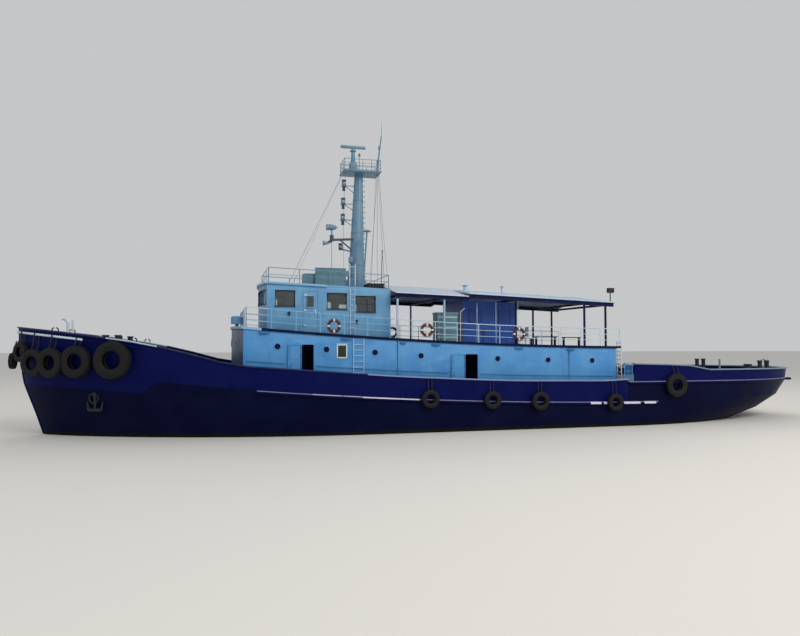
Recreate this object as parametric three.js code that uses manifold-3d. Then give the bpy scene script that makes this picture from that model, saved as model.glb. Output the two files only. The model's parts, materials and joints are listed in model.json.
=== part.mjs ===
// A long sea tugboat afloat, as a 1:2 scale model in millimetres.
// Bow towards -X, stern towards +X, port side towards -Y, +Z up, waterline at Z = 0.
import * as THREE from 'three';
import { mergeVertices } from 'three/addons/utils/BufferGeometryUtils.js';
import Module from 'manifold-3d';

const wasm = await Module();
wasm.setup();

// Driving dimensions of the hull
const BOW_X = -11980;
const STERN_X = 11350;
const PLATE = 36; // bulwark plating with its stays
const GAP = 0.3; // between pieces that touch
const SWING_GAP = 6; // round a piece that moves

// Sheer of the main deck: lowest at SHEER_X
const SHEER_X = 5500;
const SHEER_Z = 700;
const SHEER_RISE = 3.6e-6;

// A line that follows another in straight steps, so that every piece along it has the same corners
const STATION = 700;
function stepped(line) {
  return (x) => {
    const start = Math.floor(x / STATION) * STATION;
    const share = (x - start) / STATION;
    return line(start) * (1 - share) + line(start + STATION) * share;
  };
}
const mainDeck = stepped((x) => SHEER_Z + SHEER_RISE * (x - SHEER_X) ** 2);

// Bulwark top, as places along the hull: [x, z]
const CAP_LINE = [
  [-12400, 2780], [-11992, 2735], [-10205, 2529], [-9045, 2365], [-8368, 2230], [-7835, 2102],
  [-6900, 1840], [-6400, 1757], [-5032, 1655], [-2471, 1465], [-457, 1365], [931, 1312],
  [3875, 1275], [5200, 1400], [12400, 1540],
];
const POOP_CAP_LINE = [[4000, 1760], [6254, 1698], [6703, 1560], [8612, 1560], [12400, 1536]];
const FORECASTLE_AFT_X = -8300;
const FORECASTLE_DROP = 280; // deck below the bulwark top
const POOP_FRONT_X = 4262;
const POOP_Z = 1262;
const GANGWAY_AFT_X = 4478;

// Linear interpolation in a table of [place, value]
function along(table, at) {
  if (at <= table[0][0]) return table[0][1];
  for (let i = 1; i < table.length; i++) {
    const [a, va] = table[i - 1];
    const [b, vb] = table[i];
    if (at <= b) return va + ((vb - va) * (at - a)) / (b - a);
  }
  return table[table.length - 1][1];
}
const capLine = stepped((x) => along(CAP_LINE, x));
const poopCap = stepped((x) => along(POOP_CAP_LINE, x));
const forecastleDeck = (x) => capLine(x) - FORECASTLE_DROP;

// Profile of the stem and of the counter stern: [z, x]
const STEM = [
  [-1700, -9900], [-1500, -10450], [-1150, -10800], [-600, -11130], [0, -11335],
  [673, -11560], [1413, -11850], [2100, -11960], [2735, BOW_X],
];
const COUNTER = [
  [-1700, 8200], [-1150, 8220], [-750, 8300], [-520, 8480], [-350, 8780], [-150, 9220], [0, 9540],
  [153, 9950], [353, 10520], [523, 10820], [733, 11070], [973, 11245], [1192, STERN_X],
];

// Hull levels. share is of the bulwark top's height, or a depth in mm below the water.
// Columns: share or depth, half-breadth, bow run, bow power, stern run, stern power
const LEVELS = [
  { share: 1.36, half: 2375, bow: 6500, bowPow: 1.6, stern: 4000, sternPow: 2.1 },
  { share: 1, half: 2375, bow: 6500, bowPow: 1.6, stern: 4000, sternPow: 2.1 },
  { share: 0.78, half: 2370, bow: 6950, bowPow: 1.5, stern: 4150, sternPow: 2 },
  { share: 0.48, half: 2362, bow: 7500, bowPow: 1.4, stern: 4450, sternPow: 1.9 },
  { share: 0.2, half: 2348, bow: 8150, bowPow: 1.31, stern: 4850, sternPow: 1.73 },
  { share: 0, half: 2330, bow: 8500, bowPow: 1.25, stern: 5200, sternPow: 1.6 },
  { depth: 350, half: 2300, bow: 8600, bowPow: 1.2, stern: 6000, sternPow: 1.4 },
  { depth: 750, half: 2250, bow: 8800, bowPow: 1.15, stern: 7000, sternPow: 1.2 },
  { depth: 1150, half: 2080, bow: 9000, bowPow: 1.1, stern: 7600, sternPow: 1.05 },
  { depth: 1450, half: 1700, bow: 9000, bowPow: 1.05, stern: 7800, sternPow: 1 },
  { depth: 1620, half: 1050, bow: 8600, bowPow: 1, stern: 7800, sternPow: 1 },
  { depth: 1700, half: 160, bow: 8000, bowPow: 1, stern: 7800, sternPow: 1 },
];
const HULL_COLUMNS = 24;
const KEEL = { top: -1600, bottom: -1760, half: 70, fore: -9700, aft: 9900 };

// Finishes
const finish = (color, roughness, metalness = 0) =>
  new THREE.MeshStandardMaterial({ color, roughness, metalness });
const NAVY = finish(0x141f52, 0.45);
const DECK_PAINT = finish(0x4a5560, 0.8);
const HOUSE_BLUE = finish(0x4d93cf, 0.5);
const WHEELHOUSE_BLUE = finish(0x5f9dbe, 0.5);
const PALE = finish(0xc9dbe6, 0.5);
const TRIM_NAVY = finish(0x0d1540, 0.5);
const STEEL_BLUE = finish(0x5b86a8, 0.5);
const BLACK = finish(0x15161a, 0.8);
const BRONZE = finish(0xa8874a, 0.35, 0.9);
const GLASS = finish(0x1a2228, 0.1);
const CASING_BLUE = finish(0x1f3f7a, 0.6);
const TEAL = finish(0x5f9aa6, 0.6);
const GALVANISED = finish(0x9aa3a8, 0.5, 0.6);
const DARK_STEEL = finish(0x2b2f38, 0.6, 0.3);

// A closed three.js geometry as a solid
function solid(geometry) {
  let g = geometry.clone();
  for (const name of Object.keys(g.attributes)) if (name !== 'position') g.deleteAttribute(name);
  g = mergeVertices(g, 1e-3);
  const source = g.index.array;
  const triangles = [];
  for (let i = 0; i < source.length; i += 3) {
    const [a, b, c] = [source[i], source[i + 1], source[i + 2]];
    if (a !== b && b !== c && a !== c) triangles.push(a, b, c);
  }
  return new wasm.Manifold(new wasm.Mesh({
    numProp: 3,
    vertProperties: new Float32Array(g.attributes.position.array),
    triVerts: new Uint32Array(triangles),
  }));
}

// A solid back as a three.js geometry
function geometryOf(body) {
  const mesh = body.getMesh();
  const points = new Float32Array(mesh.numVert * 3);
  for (let i = 0; i < mesh.numVert; i++) {
    for (let k = 0; k < 3; k++) points[i * 3 + k] = mesh.vertProperties[i * mesh.numProp + k];
  }
  const g = new THREE.BufferGeometry();
  g.setAttribute('position', new THREE.BufferAttribute(points, 3));
  g.setIndex(new THREE.BufferAttribute(new Uint32Array(mesh.triVerts), 1));
  return g;
}

const join = (...geometries) =>
  geometryOf(geometries.map(solid).reduce((a, b) => a.add(b)));
const cut = (base, ...tools) =>
  geometryOf(tools.map(solid).reduce((a, b) => a.subtract(b), solid(base)));
const common = (a, b) => geometryOf(solid(a).intersect(solid(b)));

// The same piece on the other side of the centreline
function mirrored(geometry) {
  const g = geometry.index ? geometry.toNonIndexed() : geometry.clone();
  const p = g.attributes.position.array;
  for (let i = 0; i < p.length; i += 9) {
    for (let k = 0; k < 3; k++) {
      const keep = p[i + 3 + k];
      p[i + 3 + k] = p[i + 6 + k];
      p[i + 6 + k] = keep;
    }
    for (let k = 1; k < 9; k += 3) p[i + k] *= -1;
  }
  return g;
}

// Closed surface through rings of equal length. A symmetric one closes at its own ends,
// and its second half is cut into triangles as a mirror image of the first.
function loft(rings, symmetric = false) {
  const n = rings[0].length;
  const points = rings.flat(2);
  const index = [];
  for (let i = 0; i + 1 < rings.length; i++) {
    for (let j = 0; j < n; j++) {
      const a = i * n + j;
      const b = i * n + ((j + 1) % n);
      if (symmetric && j >= n / 2) index.push(a, b, a + n, b, b + n, a + n);
      else index.push(a, b, b + n, a, b + n, a + n);
    }
  }
  if (!symmetric) {
    const last = (rings.length - 1) * n;
    for (let j = 1; j + 1 < n; j++) {
      index.push(0, j + 1, j, last, last + j, last + j + 1);
    }
  }
  const g = new THREE.BufferGeometry();
  g.setAttribute('position', new THREE.Float32BufferAttribute(points, 3));
  g.setIndex(index);
  const made = solid(g);
  if (made.volume() > 0) return geometryOf(made);
  for (let i = 0; i < index.length; i += 3) [index[i], index[i + 1]] = [index[i + 1], index[i]];
  g.setIndex(index);
  return g;
}

const box = (x0, x1, y0, y1, z0, z1) =>
  new THREE.BoxGeometry(x1 - x0, y1 - y0, z1 - z0)
    .translate((x0 + x1) / 2, (y0 + y1) / 2, (z0 + z1) / 2);

// A round or polygonal bar between two points
function bar(from, to, radius, sides = 6, endRadius = radius) {
  const a = new THREE.Vector3(...from);
  const b = new THREE.Vector3(...to);
  const g = new THREE.CylinderGeometry(endRadius, radius, a.distanceTo(b), sides);
  const turn = new THREE.Quaternion().setFromUnitVectors(
    new THREE.Vector3(0, 1, 0), b.clone().sub(a).normalize());
  g.applyQuaternion(turn);
  const middle = a.add(b).multiplyScalar(0.5);
  return g.translate(middle.x, middle.y, middle.z);
}
const post = (x, y, z0, z1, radius, sides = 8, endRadius = radius) =>
  bar([x, y, z0], [x, y, z1], radius, sides, endRadius);

// An outline in plan, given height from z0 to z1
function planPanel(points, z0, z1) {
  const shape = new THREE.Shape(points.map(([x, y]) => new THREE.Vector2(x, y)));
  const g = new THREE.ExtrudeGeometry(shape, { depth: z1 - z0, bevelEnabled: false });
  return g.translate(0, 0, z0);
}

// The space between two lines that follow the sheer
function slab(x0, x1, lower, upper, half = 4000) {
  const places = [x0];
  for (let x = Math.ceil((x0 + 1) / STATION) * STATION; x < x1 - 1; x += STATION) places.push(x);
  places.push(x1);
  return loft(places.map((x) => [
    [x, -half, lower(x)], [x, half, lower(x)], [x, half, upper(x)], [x, -half, upper(x)],
  ]));
}

// Half-breadth share at u mm from an end that is rounded over a run
const rounding = (u, run, power) =>
  u >= run ? 1 : Math.max(0, 1 - (1 - u / run) ** 2) ** (1 / power);

// Half-breadth of the hull's outside at one level
function levelHalf(level, x, foreX, aftX, grow) {
  const fore = rounding(x - foreX, level.bow, level.bowPow);
  const aft = rounding(aftX - x, level.stern, level.sternPow);
  const near = Math.min(1, Math.min(x - foreX, aftX - x) / 40);
  return Math.max(0, level.half * fore * aft + grow * Math.max(0, near));
}

// The hull's outside, grown by a few mm all round, from the keel to above every bulwark
function envelope(grow = 0) {
  const rings = [];
  for (let i = 0; i <= HULL_COLUMNS; i++) {
    const t = i / HULL_COLUMNS;
    const u = 0.5 - 0.5 * Math.cos(Math.PI * t) * (0.82 + 0.18 * Math.cos(Math.PI * t) ** 2);
    const side = LEVELS.map((level) => {
      const height = level.depth ? -level.depth : null;
      const foreZ = height ?? level.share * capLine(BOW_X);
      const aftZ = height ?? level.share * capLine(STERN_X);
      const foreX = along(STEM, foreZ) - grow;
      const aftX = along(COUNTER, aftZ) + grow;
      const x = foreX + (aftX - foreX) * u;
      const z = height ?? level.share * capLine(x);
      return [x, levelHalf(level, x, foreX, aftX, grow), z];
    });
    const port = side.map(([x, y, z]) => [x, -y, z]);
    rings.push([...port, ...side.reverse()]);
  }
  return loft(rings, true);
}

// Half-breadth of the hull's outside at a place, between the levels
function hullHalf(x, z) {
  const share = z / capLine(x);
  let upper = LEVELS[0];
  for (const level of LEVELS) {
    if (level.depth) break;
    if (level.share <= share) {
      const w = upper === level ? 0 : (share - level.share) / (upper.share - level.share);
      const at = (one) => levelHalf(one, x, along(STEM, one.share * capLine(BOW_X)),
        along(COUNTER, one.share * capLine(STERN_X)), 0);
      return at(level) * (1 - w) + at(upper) * w;
    }
    upper = level;
  }
  return levelHalf(LEVELS[5], x, along(STEM, 0), along(COUNTER, 0), 0);
}

const ship = new THREE.Group();
function add(name, geometry, material) {
  const mesh = new THREE.Mesh(geometry, material);
  mesh.name = name;
  ship.add(mesh);
}

// Hull, forecastle and poop
const outside = envelope();
const inside = envelope(-PLATE);
const FAR = 13000;
const high = () => 4000;
const low = () => -3000;
const aboveMain = slab(-FAR, FAR, mainDeck, high);
const overMain = (x) => mainDeck(x) + GAP;
const overForecastle = (x) => forecastleDeck(x) + GAP;
const OVER_POOP = POOP_Z + GAP;

const ENGINE_WELL = { x0: -800, x1: 2600, half: 700, floor: -1150 };
const SHAFT_Z = -1060;
const PROPELLER_X = 8640;
const STERN_TUBE = { x0: 8000, x1: 8440, radius: 130 };
const RUDDER_X = 9330;
const STOCK_RADIUS = 55;
const RUDDER_TOP_Z = -330;
const SOLE_TOP_Z = -1650;

function makeHull() {
  const belowDeck = cut(outside, aboveMain);
  const keel = box(KEEL.fore, KEEL.aft, -KEEL.half, KEEL.half, KEEL.bottom, KEEL.top - 50);
  const deadwood = box(7000, 8240, -60, 60, KEEL.bottom + 10, -900);
  const tube = bar([STERN_TUBE.x0, 0, SHAFT_Z], [STERN_TUBE.x1, 0, SHAFT_Z], STERN_TUBE.radius, 20);
  const well = box(ENGINE_WELL.x0, ENGINE_WELL.x1, -ENGINE_WELL.half, ENGINE_WELL.half,
    ENGINE_WELL.floor, 2000);
  const trunk = post(RUDDER_X, 0, RUDDER_TOP_Z - 20, 500, STOCK_RADIUS + SWING_GAP, 20);
  const shaftHole = bar([STERN_TUBE.x1 - 200, 0, SHAFT_Z], [STERN_TUBE.x1 + 20, 0, SHAFT_Z], 66, 20);
  return cut(join(belowDeck, keel, deadwood, tube), well, trunk, shaftHole);
}
add('hull', makeHull(), NAVY);

function bitts(x, y, z, pitch, radius, height) {
  const base = box(x - pitch, x + pitch, y - radius * 1.6, y + radius * 1.6, z - 60, z + 25);
  const posts = [-0.55, 0.55].map((k) => post(x + k * pitch, y, z, z + height, radius, 8));
  const heads = [-0.55, 0.55].map((k) =>
    post(x + k * pitch, y, z + height - 30, z + height + 8, radius * 1.25, 8));
  return [base, ...posts, ...heads];
}

function makeForecastle() {
  const block = common(outside, slab(-FAR, FORECASTLE_AFT_X, overMain, forecastleDeck));
  const deck = forecastleDeck(-9560);
  const goose = forecastleDeck(-10680);
  const neck = [
    post(-10680, -700, goose - 40, 2860, 34, 10),
    bar([-10680, -700, 2850], [-10740, -700, 2950], 34, 10),
    bar([-10735, -700, 2945], [-10820, -700, 2960], 34, 10),
  ];
  return join(block,
    ...bitts(-9560, -1350, deck, 260, 70, 380), ...bitts(-9560, 1350, deck, 260, 70, 380),
    ...neck, post(-10590, -600, goose - 40, 2930, 26, 8));
}
add('forecastle', makeForecastle(), DECK_PAINT);

// Bitts on the poop: [x, height]
const POOP_BITTS = [[6900, 330], [9700, 540]];
function makePoop() {
  const block = common(outside, slab(POOP_FRONT_X, FAR, overMain, () => POOP_Z));
  const pairs = POOP_BITTS.flatMap(([x, height]) => [-1, 1].flatMap((side) =>
    bitts(x, side * (hullHalf(x, POOP_Z) - 420), POOP_Z, 240, 65, height)));
  return join(block, ...pairs);
}
add('poop', makePoop(), DECK_PAINT);

// Bulwarks: the shell between the hull's outside and inside, above each deck
const shell = cut(outside, inside);
const JOINT_X = -6600; // bow bulwark meets the side bulwarks
const side = (name) => (name === 'port' ? box(-FAR, FAR, -4000, 0, -3000, 5000)
  : box(-FAR, FAR, 0, 4000, -3000, 5000));
add('bulwark_bow', join(
  common(shell, slab(-FAR, FORECASTLE_AFT_X + 40, overForecastle, capLine)),
  common(shell, slab(FORECASTLE_AFT_X + GAP, JOINT_X, overMain, capLine))), NAVY);
for (const name of ['port', 'starboard']) {
  const run = common(shell, slab(JOINT_X + GAP, POOP_FRONT_X - GAP, overMain, capLine));
  add('bulwark_' + name, common(run, side(name)), NAVY);
}
add('bulwark_stern', common(shell, slab(GANGWAY_AFT_X, FAR, () => OVER_POOP, poopCap)), NAVY);

// Cap rails along the bulwark tops
const CAP_OUT = 34;
const CAP_IN = 46;
const CAP_THICK = 34;
const capBand = cut(envelope(CAP_OUT), envelope(-PLATE - CAP_IN));
const lift = (line, by) => (x) => line(x) + by;
const capRun = (x0, x1) => common(capBand,
  slab(x0, x1, lift(capLine, GAP), lift(capLine, CAP_THICK)));
add('cap_rail_bow', capRun(-FAR, JOINT_X), PALE);
for (const name of ['port', 'starboard']) {
  add('cap_rail_' + name, common(capRun(JOINT_X + GAP, POOP_FRONT_X - GAP), side(name)), PALE);
}
add('cap_rail_stern', common(capBand,
  slab(GANGWAY_AFT_X, FAR, lift(poopCap, GAP), lift(poopCap, CAP_THICK))), PALE);

// Tyres hung as fenders
function tyre(x, y, z, outX, outY, radius, width) {
  const hole = radius * 0.42;
  const profile = [
    [hole, -width * 0.3], [radius * 0.72, -width * 0.5], [radius, -width * 0.3],
    [radius, width * 0.3], [radius * 0.72, width * 0.5], [hole, width * 0.3],
    [hole, -width * 0.3],
  ].map(([r, h]) => new THREE.Vector2(r, h));
  const g = new THREE.LatheGeometry(profile, 14);
  g.applyQuaternion(new THREE.Quaternion().setFromUnitVectors(
    new THREE.Vector3(0, 1, 0), new THREE.Vector3(outX, outY, 0).normalize()));
  return g.translate(x, y, z);
}

// Outward direction of the hull's side in plan, on the port side
function outward(x, z) {
  const slope = (hullHalf(x + 60, z) - hullHalf(x - 60, z)) / 120;
  const length = Math.hypot(slope, 1);
  return [-slope / length, -1 / length];
}

// A band on the hull's outside between two lines
function band(x0, x1, lower, upper, out) {
  return common(cut(envelope(out), envelope(GAP)), slab(x0, x1, lower, upper));
}

// Lower rubbing strakes with the tyres that hang over them: [x, z, radius]
const STRAKE_OUT = 62;
const STRAKE_DEPTH = 95;
const SIDE_TYRES = [[-1643, 893, 235], [89, 832, 235], [1489, 776, 250], [3788, 690, 235]];
const SIDE_TYRE_WIDTH = 130;
function makeStrake(sign) {
  const bandSolid = band(-6100, 5250, lift(mainDeck, -STRAKE_DEPTH), lift(mainDeck, -8), STRAKE_OUT);
  const half = common(bandSolid, side('port'));
  const tyres = SIDE_TYRES.flatMap(([x, z, radius]) => {
    const y = -(hullHalf(x, z) + STRAKE_OUT + SIDE_TYRE_WIDTH / 2 - 16);
    const rope = bar([x, y + 30, z + radius * 0.6], [x, -(hullHalf(x, z) + 52), capLine(x) - 6], 12, 4);
    return [tyre(x, y, z, 0, -1, radius, SIDE_TYRE_WIDTH), rope];
  });
  const port = join(half, ...tyres);
  return sign < 0 ? port : mirrored(port);
}
add('strake_port', makeStrake(-1), NAVY);
add('strake_starboard', makeStrake(1), NAVY);

// Upper strake round the poop, with a tyre over it and a short roller on each quarter
const UPPER_STRAKE = { depth: 90, out: 66 };
const ROLLER = { x: STERN_X - 510, z: POOP_Z - 50, reach: 190, radius: 42 };
function makeSternStrake() {
  const ring = band(POOP_FRONT_X + 20, FAR, () => POOP_Z - UPPER_STRAKE.depth, () => POOP_Z - 5,
    UPPER_STRAKE.out);
  const x = 5783;
  const z = 1141;
  const y = -(hullHalf(x, z) + UPPER_STRAKE.out + 40);
  const hung = tyre(x, y, z, ...outward(x, z), 330, 150);
  const [rx, ry] = outward(ROLLER.x, ROLLER.z);
  const out = (by) => [ROLLER.x + rx * by, -hullHalf(ROLLER.x, ROLLER.z) + ry * by, ROLLER.z];
  const roller = bar(out(-20), out(ROLLER.reach), ROLLER.radius, 8);
  return cut(join(ring, hung, mirrored(hung), roller, mirrored(roller)), envelope(GAP));
}
add('strake_stern', makeSternStrake(), NAVY);

// Bow fender pipe with its tyres: [x, z, radius] on the port side, and one at the stem
const BOW_TYRES = [
  [-9430, 1930, 450], [-10290, 1890, 390], [-10900, 1860, 360], [-11360, 1850, 340],
  [-11740, 2120, 250],
];
const STEM_TYRE = { x: BOW_X - 116, z: 1888, radius: 205, width: 150 };
const BOW_TYRE_WIDTH = 230;
const PIPE_DROP = 130;
const PIPE_OUT = 60;
function makeBowFender() {
  const pipe = common(cut(envelope(PIPE_OUT), envelope(GAP)),
    slab(-FAR, -8900, lift(capLine, -PIPE_DROP), lift(capLine, -PIPE_DROP + 60)));
  const hung = BOW_TYRES.flatMap(([x, z, radius]) => {
    const [nx, ny] = outward(x, z);
    const y = -hullHalf(x, z);
    const width = radius < 300 ? STEM_TYRE.width : BOW_TYRE_WIDTH;
    const reach = width / 2 + 34;
    const top = hullHalf(x, capLine(x) - PIPE_DROP);
    const centre = [x + nx * reach, Math.min(y + ny * reach, -top + ny * reach * 0.2), z];
    const rope = bar([centre[0], centre[1], z + radius * 0.7],
      [x + nx * 30, -top + ny * 30, capLine(x) - PIPE_DROP + 20], 22, 5);
    const one = tyre(...centre, nx, ny, radius, width);
    return [one, rope, mirrored(one), mirrored(rope)];
  });
  const stem = tyre(STEM_TYRE.x, 0, STEM_TYRE.z, -1, 0, STEM_TYRE.radius, STEM_TYRE.width);
  const stemRope = bar([STEM_TYRE.x, 0, STEM_TYRE.z + STEM_TYRE.radius * 0.7],
    [BOW_X - 25, 0, capLine(BOW_X) - PIPE_DROP + 25], 22, 5);
  return cut(join(pipe, ...hung, stem, stemRope), envelope(GAP));
}
add('bow_fender', makeBowFender(), BLACK);

// Rudder on its stock, and the propeller
function makeRudder() {
  const blade = planPanel([
    [RUDDER_X - 190, 0], [RUDDER_X - 150, -42], [RUDDER_X, -60], [RUDDER_X + 300, -34],
    [RUDDER_X + 560, -6], [RUDDER_X + 560, 6], [RUDDER_X + 300, 34], [RUDDER_X, 60],
    [RUDDER_X - 150, 42],
  ], SOLE_TOP_Z + 60, RUDDER_TOP_Z);
  const stock = post(RUDDER_X, 0, RUDDER_TOP_Z - 60, 200, STOCK_RADIUS, 16);
  const pintle = post(RUDDER_X, 0, SOLE_TOP_Z + GAP, SOLE_TOP_Z + 80, 50, 16);
  return join(blade, stock, pintle);
}
add('rudder', makeRudder(), NAVY);

const PROPELLER_RADIUS = 480;
function makePropeller() {
  const hub = bar([STERN_TUBE.x1 + GAP, 0, SHAFT_Z], [PROPELLER_X + 110, 0, SHAFT_Z], 100, 18);
  const nose = bar([PROPELLER_X + 105, 0, SHAFT_Z], [PROPELLER_X + 230, 0, SHAFT_Z], 90, 18, 25);
  const shaft = bar([STERN_TUBE.x1 - 180, 0, SHAFT_Z], [STERN_TUBE.x1 + 40, 0, SHAFT_Z], 60, 16);
  const blades = [0, 1, 2, 3].map((k) => {
    // Columns: radius, chord, pitch angle in degrees
    const sections = [[70, 170, 62], [180, 300, 50], [320, 380, 36], [430, 290, 28], [PROPELLER_RADIUS, 90, 25]];
    const rings = sections.map(([radius, chord, angle]) => {
      const a = THREE.MathUtils.degToRad(angle);
      const thick = 34 - 22 * (radius / PROPELLER_RADIUS);
      return [[-0.5, 0], [0, -thick / 2], [0.5, 0], [0, thick / 2]].map(([c, t]) => {
        const along1 = c * chord * Math.sin(a) + t * Math.cos(a);
        const across = c * chord * Math.cos(a) - t * Math.sin(a);
        return [along1, across, Math.sqrt(Math.max(1, radius * radius - across * across))];
      });
    });
    return loft(rings).rotateX((k * Math.PI) / 2).translate(PROPELLER_X, 0, SHAFT_Z);
  });
  return join(hub, nose, shaft, ...blades);
}
add('propeller', makePropeller(), BRONZE);

add('engine_block', box(-500, 2100, -420, 420, ENGINE_WELL.floor + GAP, 150), DARK_STEEL);

// Deckhouse
const HOUSE = { fore: -6400, aft: 4217, half: 1850, bulge: 240, wall: 40, height: 1495 };
const DECK_EDGE = 65;
const houseTop = (x) => mainDeck(x) + HOUSE.height;
const boatDeckTop = (x) => houseTop(x) + DECK_EDGE;

// Points of a bulging front, from port to starboard
function frontArc(x, half, bulge, steps = 8) {
  const points = [];
  for (let i = 0; i <= steps; i++) {
    const y = -half + (2 * half * i) / steps;
    points.push([x - bulge * (1 - (y / half) ** 2), y]);
  }
  return points;
}
function frontWall(x, half, bulge, wall, z0, z1) {
  const outer = frontArc(x, half, bulge);
  const inner = frontArc(x, half - wall, bulge - wall).reverse();
  return planPanel([...outer, ...inner], z0, z1);
}

const houseSpace = slab(-7500, 5500, overMain, houseTop);

// House doors: the leaf stands open, folded forward against the wall
// Columns: name, hinge x, leaf width
const HOUSE_DOORS = [
  { name: 'fore', hinge: -4945, width: 335 },
  { name: 'aft', hinge: -472, width: 392 },
];
const DOOR_SILL = 150;
const DOOR_HEAD = 1215;
const LEAF = 24;
const HINGE_OUT = 36; // hinge axis outside the wall
const PIN = 11;
const KNUCKLES = [0.18, 0.82]; // places up the leaf
const KNUCKLE_HEIGHT = 60;

// A door's outline, with round corners at its head, from y0 to y1
const DOOR_CORNER = 40;
function doorShape(x0, x1, y0, y1, z0, z1) {
  const shape = new THREE.Shape();
  shape.moveTo(x0, z0).lineTo(x1, z0).lineTo(x1, z1 - DOOR_CORNER);
  shape.absarc(x1 - DOOR_CORNER, z1 - DOOR_CORNER, DOOR_CORNER, 0, Math.PI / 2);
  shape.lineTo(x0 + DOOR_CORNER, z1);
  shape.absarc(x0 + DOOR_CORNER, z1 - DOOR_CORNER, DOOR_CORNER, Math.PI / 2, Math.PI);
  const g = new THREE.ExtrudeGeometry(shape, { depth: y1 - y0, bevelEnabled: false, curveSegments: 3 });
  return g.rotateX(Math.PI / 2).translate(0, y1, 0);
}

// A ladder that stands off a wall on the port side, on brackets at its ends
const LADDER = { stile: 9, rung: 7, off: 34, pitch: 150 };
function wallLadder(x0, x1, wallY, z0, z1) {
  const y = wallY - LADDER.off;
  const stiles = [x0, x1].map((x) => post(x, y, z0, z1, LADDER.stile, 4));
  const brackets = [x0, x1].flatMap((x) => [z0 + 40, z1 - 40].map((z) =>
    box(x - 8, x + 8, y, wallY + 4, z - 8, z + 8)));
  const rungs = [];
  for (let z = z0 + 60; z < z1 - 30; z += LADDER.pitch) {
    rungs.push(bar([x0, y, z], [x1, y, z], LADDER.rung, 4));
  }
  return [...stiles, ...brackets, ...rungs];
}

const HOUSE_LADDER = { x0: -3571, x1: -3299 };
function houseSide() {
  const wall = box(HOUSE.fore + GAP, HOUSE.aft, -HOUSE.half, -HOUSE.half + HOUSE.wall, 300, 4000);
  const openings = HOUSE_DOORS.map(({ hinge, width }) => {
    const z0 = mainDeck(hinge) + DOOR_SILL;
    const z1 = mainDeck(hinge) + DOOR_HEAD;
    return doorShape(hinge + 20, hinge + width - 6, -HOUSE.half - 80, -HOUSE.half + HOUSE.wall + 20, z0, z1);
  });
  const frames = HOUSE_DOORS.map(({ hinge, width }) => {
    const z0 = mainDeck(hinge) + DOOR_SILL;
    const z1 = mainDeck(hinge) + DOOR_HEAD;
    const out = -HOUSE.half - HINGE_OUT + LEAF / 2 + SWING_GAP;
    return doorShape(hinge + 8, hinge + width + 8, out, -HOUSE.half + 5, z0 - 14, z1 + 14);
  });
  const lugs = HOUSE_DOORS.flatMap(({ hinge }) => KNUCKLES.map((share) => {
    const z = mainDeck(hinge) + DOOR_SILL + share * (DOOR_HEAD - DOOR_SILL);
    return join(
      post(hinge, -HOUSE.half - HINGE_OUT, z - KNUCKLE_HEIGHT, z, PIN, 10),
      box(hinge - 8, hinge + 8, -HOUSE.half - HINGE_OUT, -HOUSE.half + 4, z - KNUCKLE_HEIGHT, z - 12));
  }));
  const ladder = wallLadder(HOUSE_LADDER.x0, HOUSE_LADDER.x1, -HOUSE.half,
    mainDeck(HOUSE_LADDER.x0) + 60, houseTop(HOUSE_LADDER.x1) - 5);
  return cut(common(join(wall, ...frames, ...lugs, ...ladder), houseSpace), ...openings);
}

function doorLeaf({ hinge, width }) {
  const z0 = mainDeck(hinge) + DOOR_SILL - 10;
  const z1 = mainDeck(hinge) + DOOR_HEAD + 10;
  const y = -HOUSE.half - HINGE_OUT;
  const leaf = doorShape(hinge - width, hinge - 15, y - LEAF / 2, y + LEAF / 2, z0, z1);
  const knuckles = KNUCKLES.map((share) => {
    const z = mainDeck(hinge) + DOOR_SILL + share * (DOOR_HEAD - DOOR_SILL);
    return join(post(hinge, y, z + GAP, z + KNUCKLE_HEIGHT, PIN, 10),
      box(hinge - 30, hinge, y - 6, y + 6, z + 12, z + KNUCKLE_HEIGHT - 6));
  });
  return join(leaf, ...knuckles);
}

add('house_front', common(frontWall(HOUSE.fore, HOUSE.half, HOUSE.bulge, HOUSE.wall, 300, 4000),
  houseSpace), HOUSE_BLUE);
const portSide = houseSide();
add('house_port', portSide, HOUSE_BLUE);
add('house_starboard', mirrored(portSide), HOUSE_BLUE);
const AFT_HALF = HOUSE.half - HOUSE.wall - GAP;
add('house_aft', common(box(HOUSE.aft - HOUSE.wall, HOUSE.aft, -AFT_HALF, AFT_HALF, 300, 4000),
  houseSpace), HOUSE_BLUE);
for (const door of HOUSE_DOORS) {
  const leaf = doorLeaf(door);
  add('house_door_port_' + door.name, leaf, HOUSE_BLUE);
  add('house_door_starboard_' + door.name, mirrored(leaf), HOUSE_BLUE);
}

const DECK_OVER = 36;
const BOAT_DECK_AFT = 4360;
// Benches on each side of the after deck: [x0, x1]
const BENCHES = [[1750, 2450], [2620, 3220]];
const BENCH = { inner: 1530, outer: 1640, seat: 225, thick: 24, leg: 30 };
function makeBoatDeck() {
  const deck = common(
    planPanel([...frontArc(HOUSE.fore - DECK_OVER, HOUSE.half + DECK_OVER, HOUSE.bulge),
      [BOAT_DECK_AFT, HOUSE.half + DECK_OVER], [BOAT_DECK_AFT, -HOUSE.half - DECK_OVER]], 1500, 4000),
    slab(-7500, 5500, lift(houseTop, GAP), boatDeckTop));
  const benches = BENCHES.flatMap(([x0, x1]) => {
    const z = boatDeckTop(x1) + BENCH.seat;
    const seat = box(x0, x1, BENCH.inner, BENCH.outer, z, z + BENCH.thick);
    const legs = [x0 + 40, x1 - 40 - BENCH.leg].map((x) =>
      box(x, x + BENCH.leg, BENCH.inner + 10, BENCH.outer - 10, boatDeckTop(x1) - 20, z + 5));
    return [seat, ...legs].flatMap((piece) => [piece, mirrored(piece)]);
  });
  return join(deck, ...benches);
}
add('boat_deck', makeBoatDeck(), TRIM_NAVY);

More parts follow.
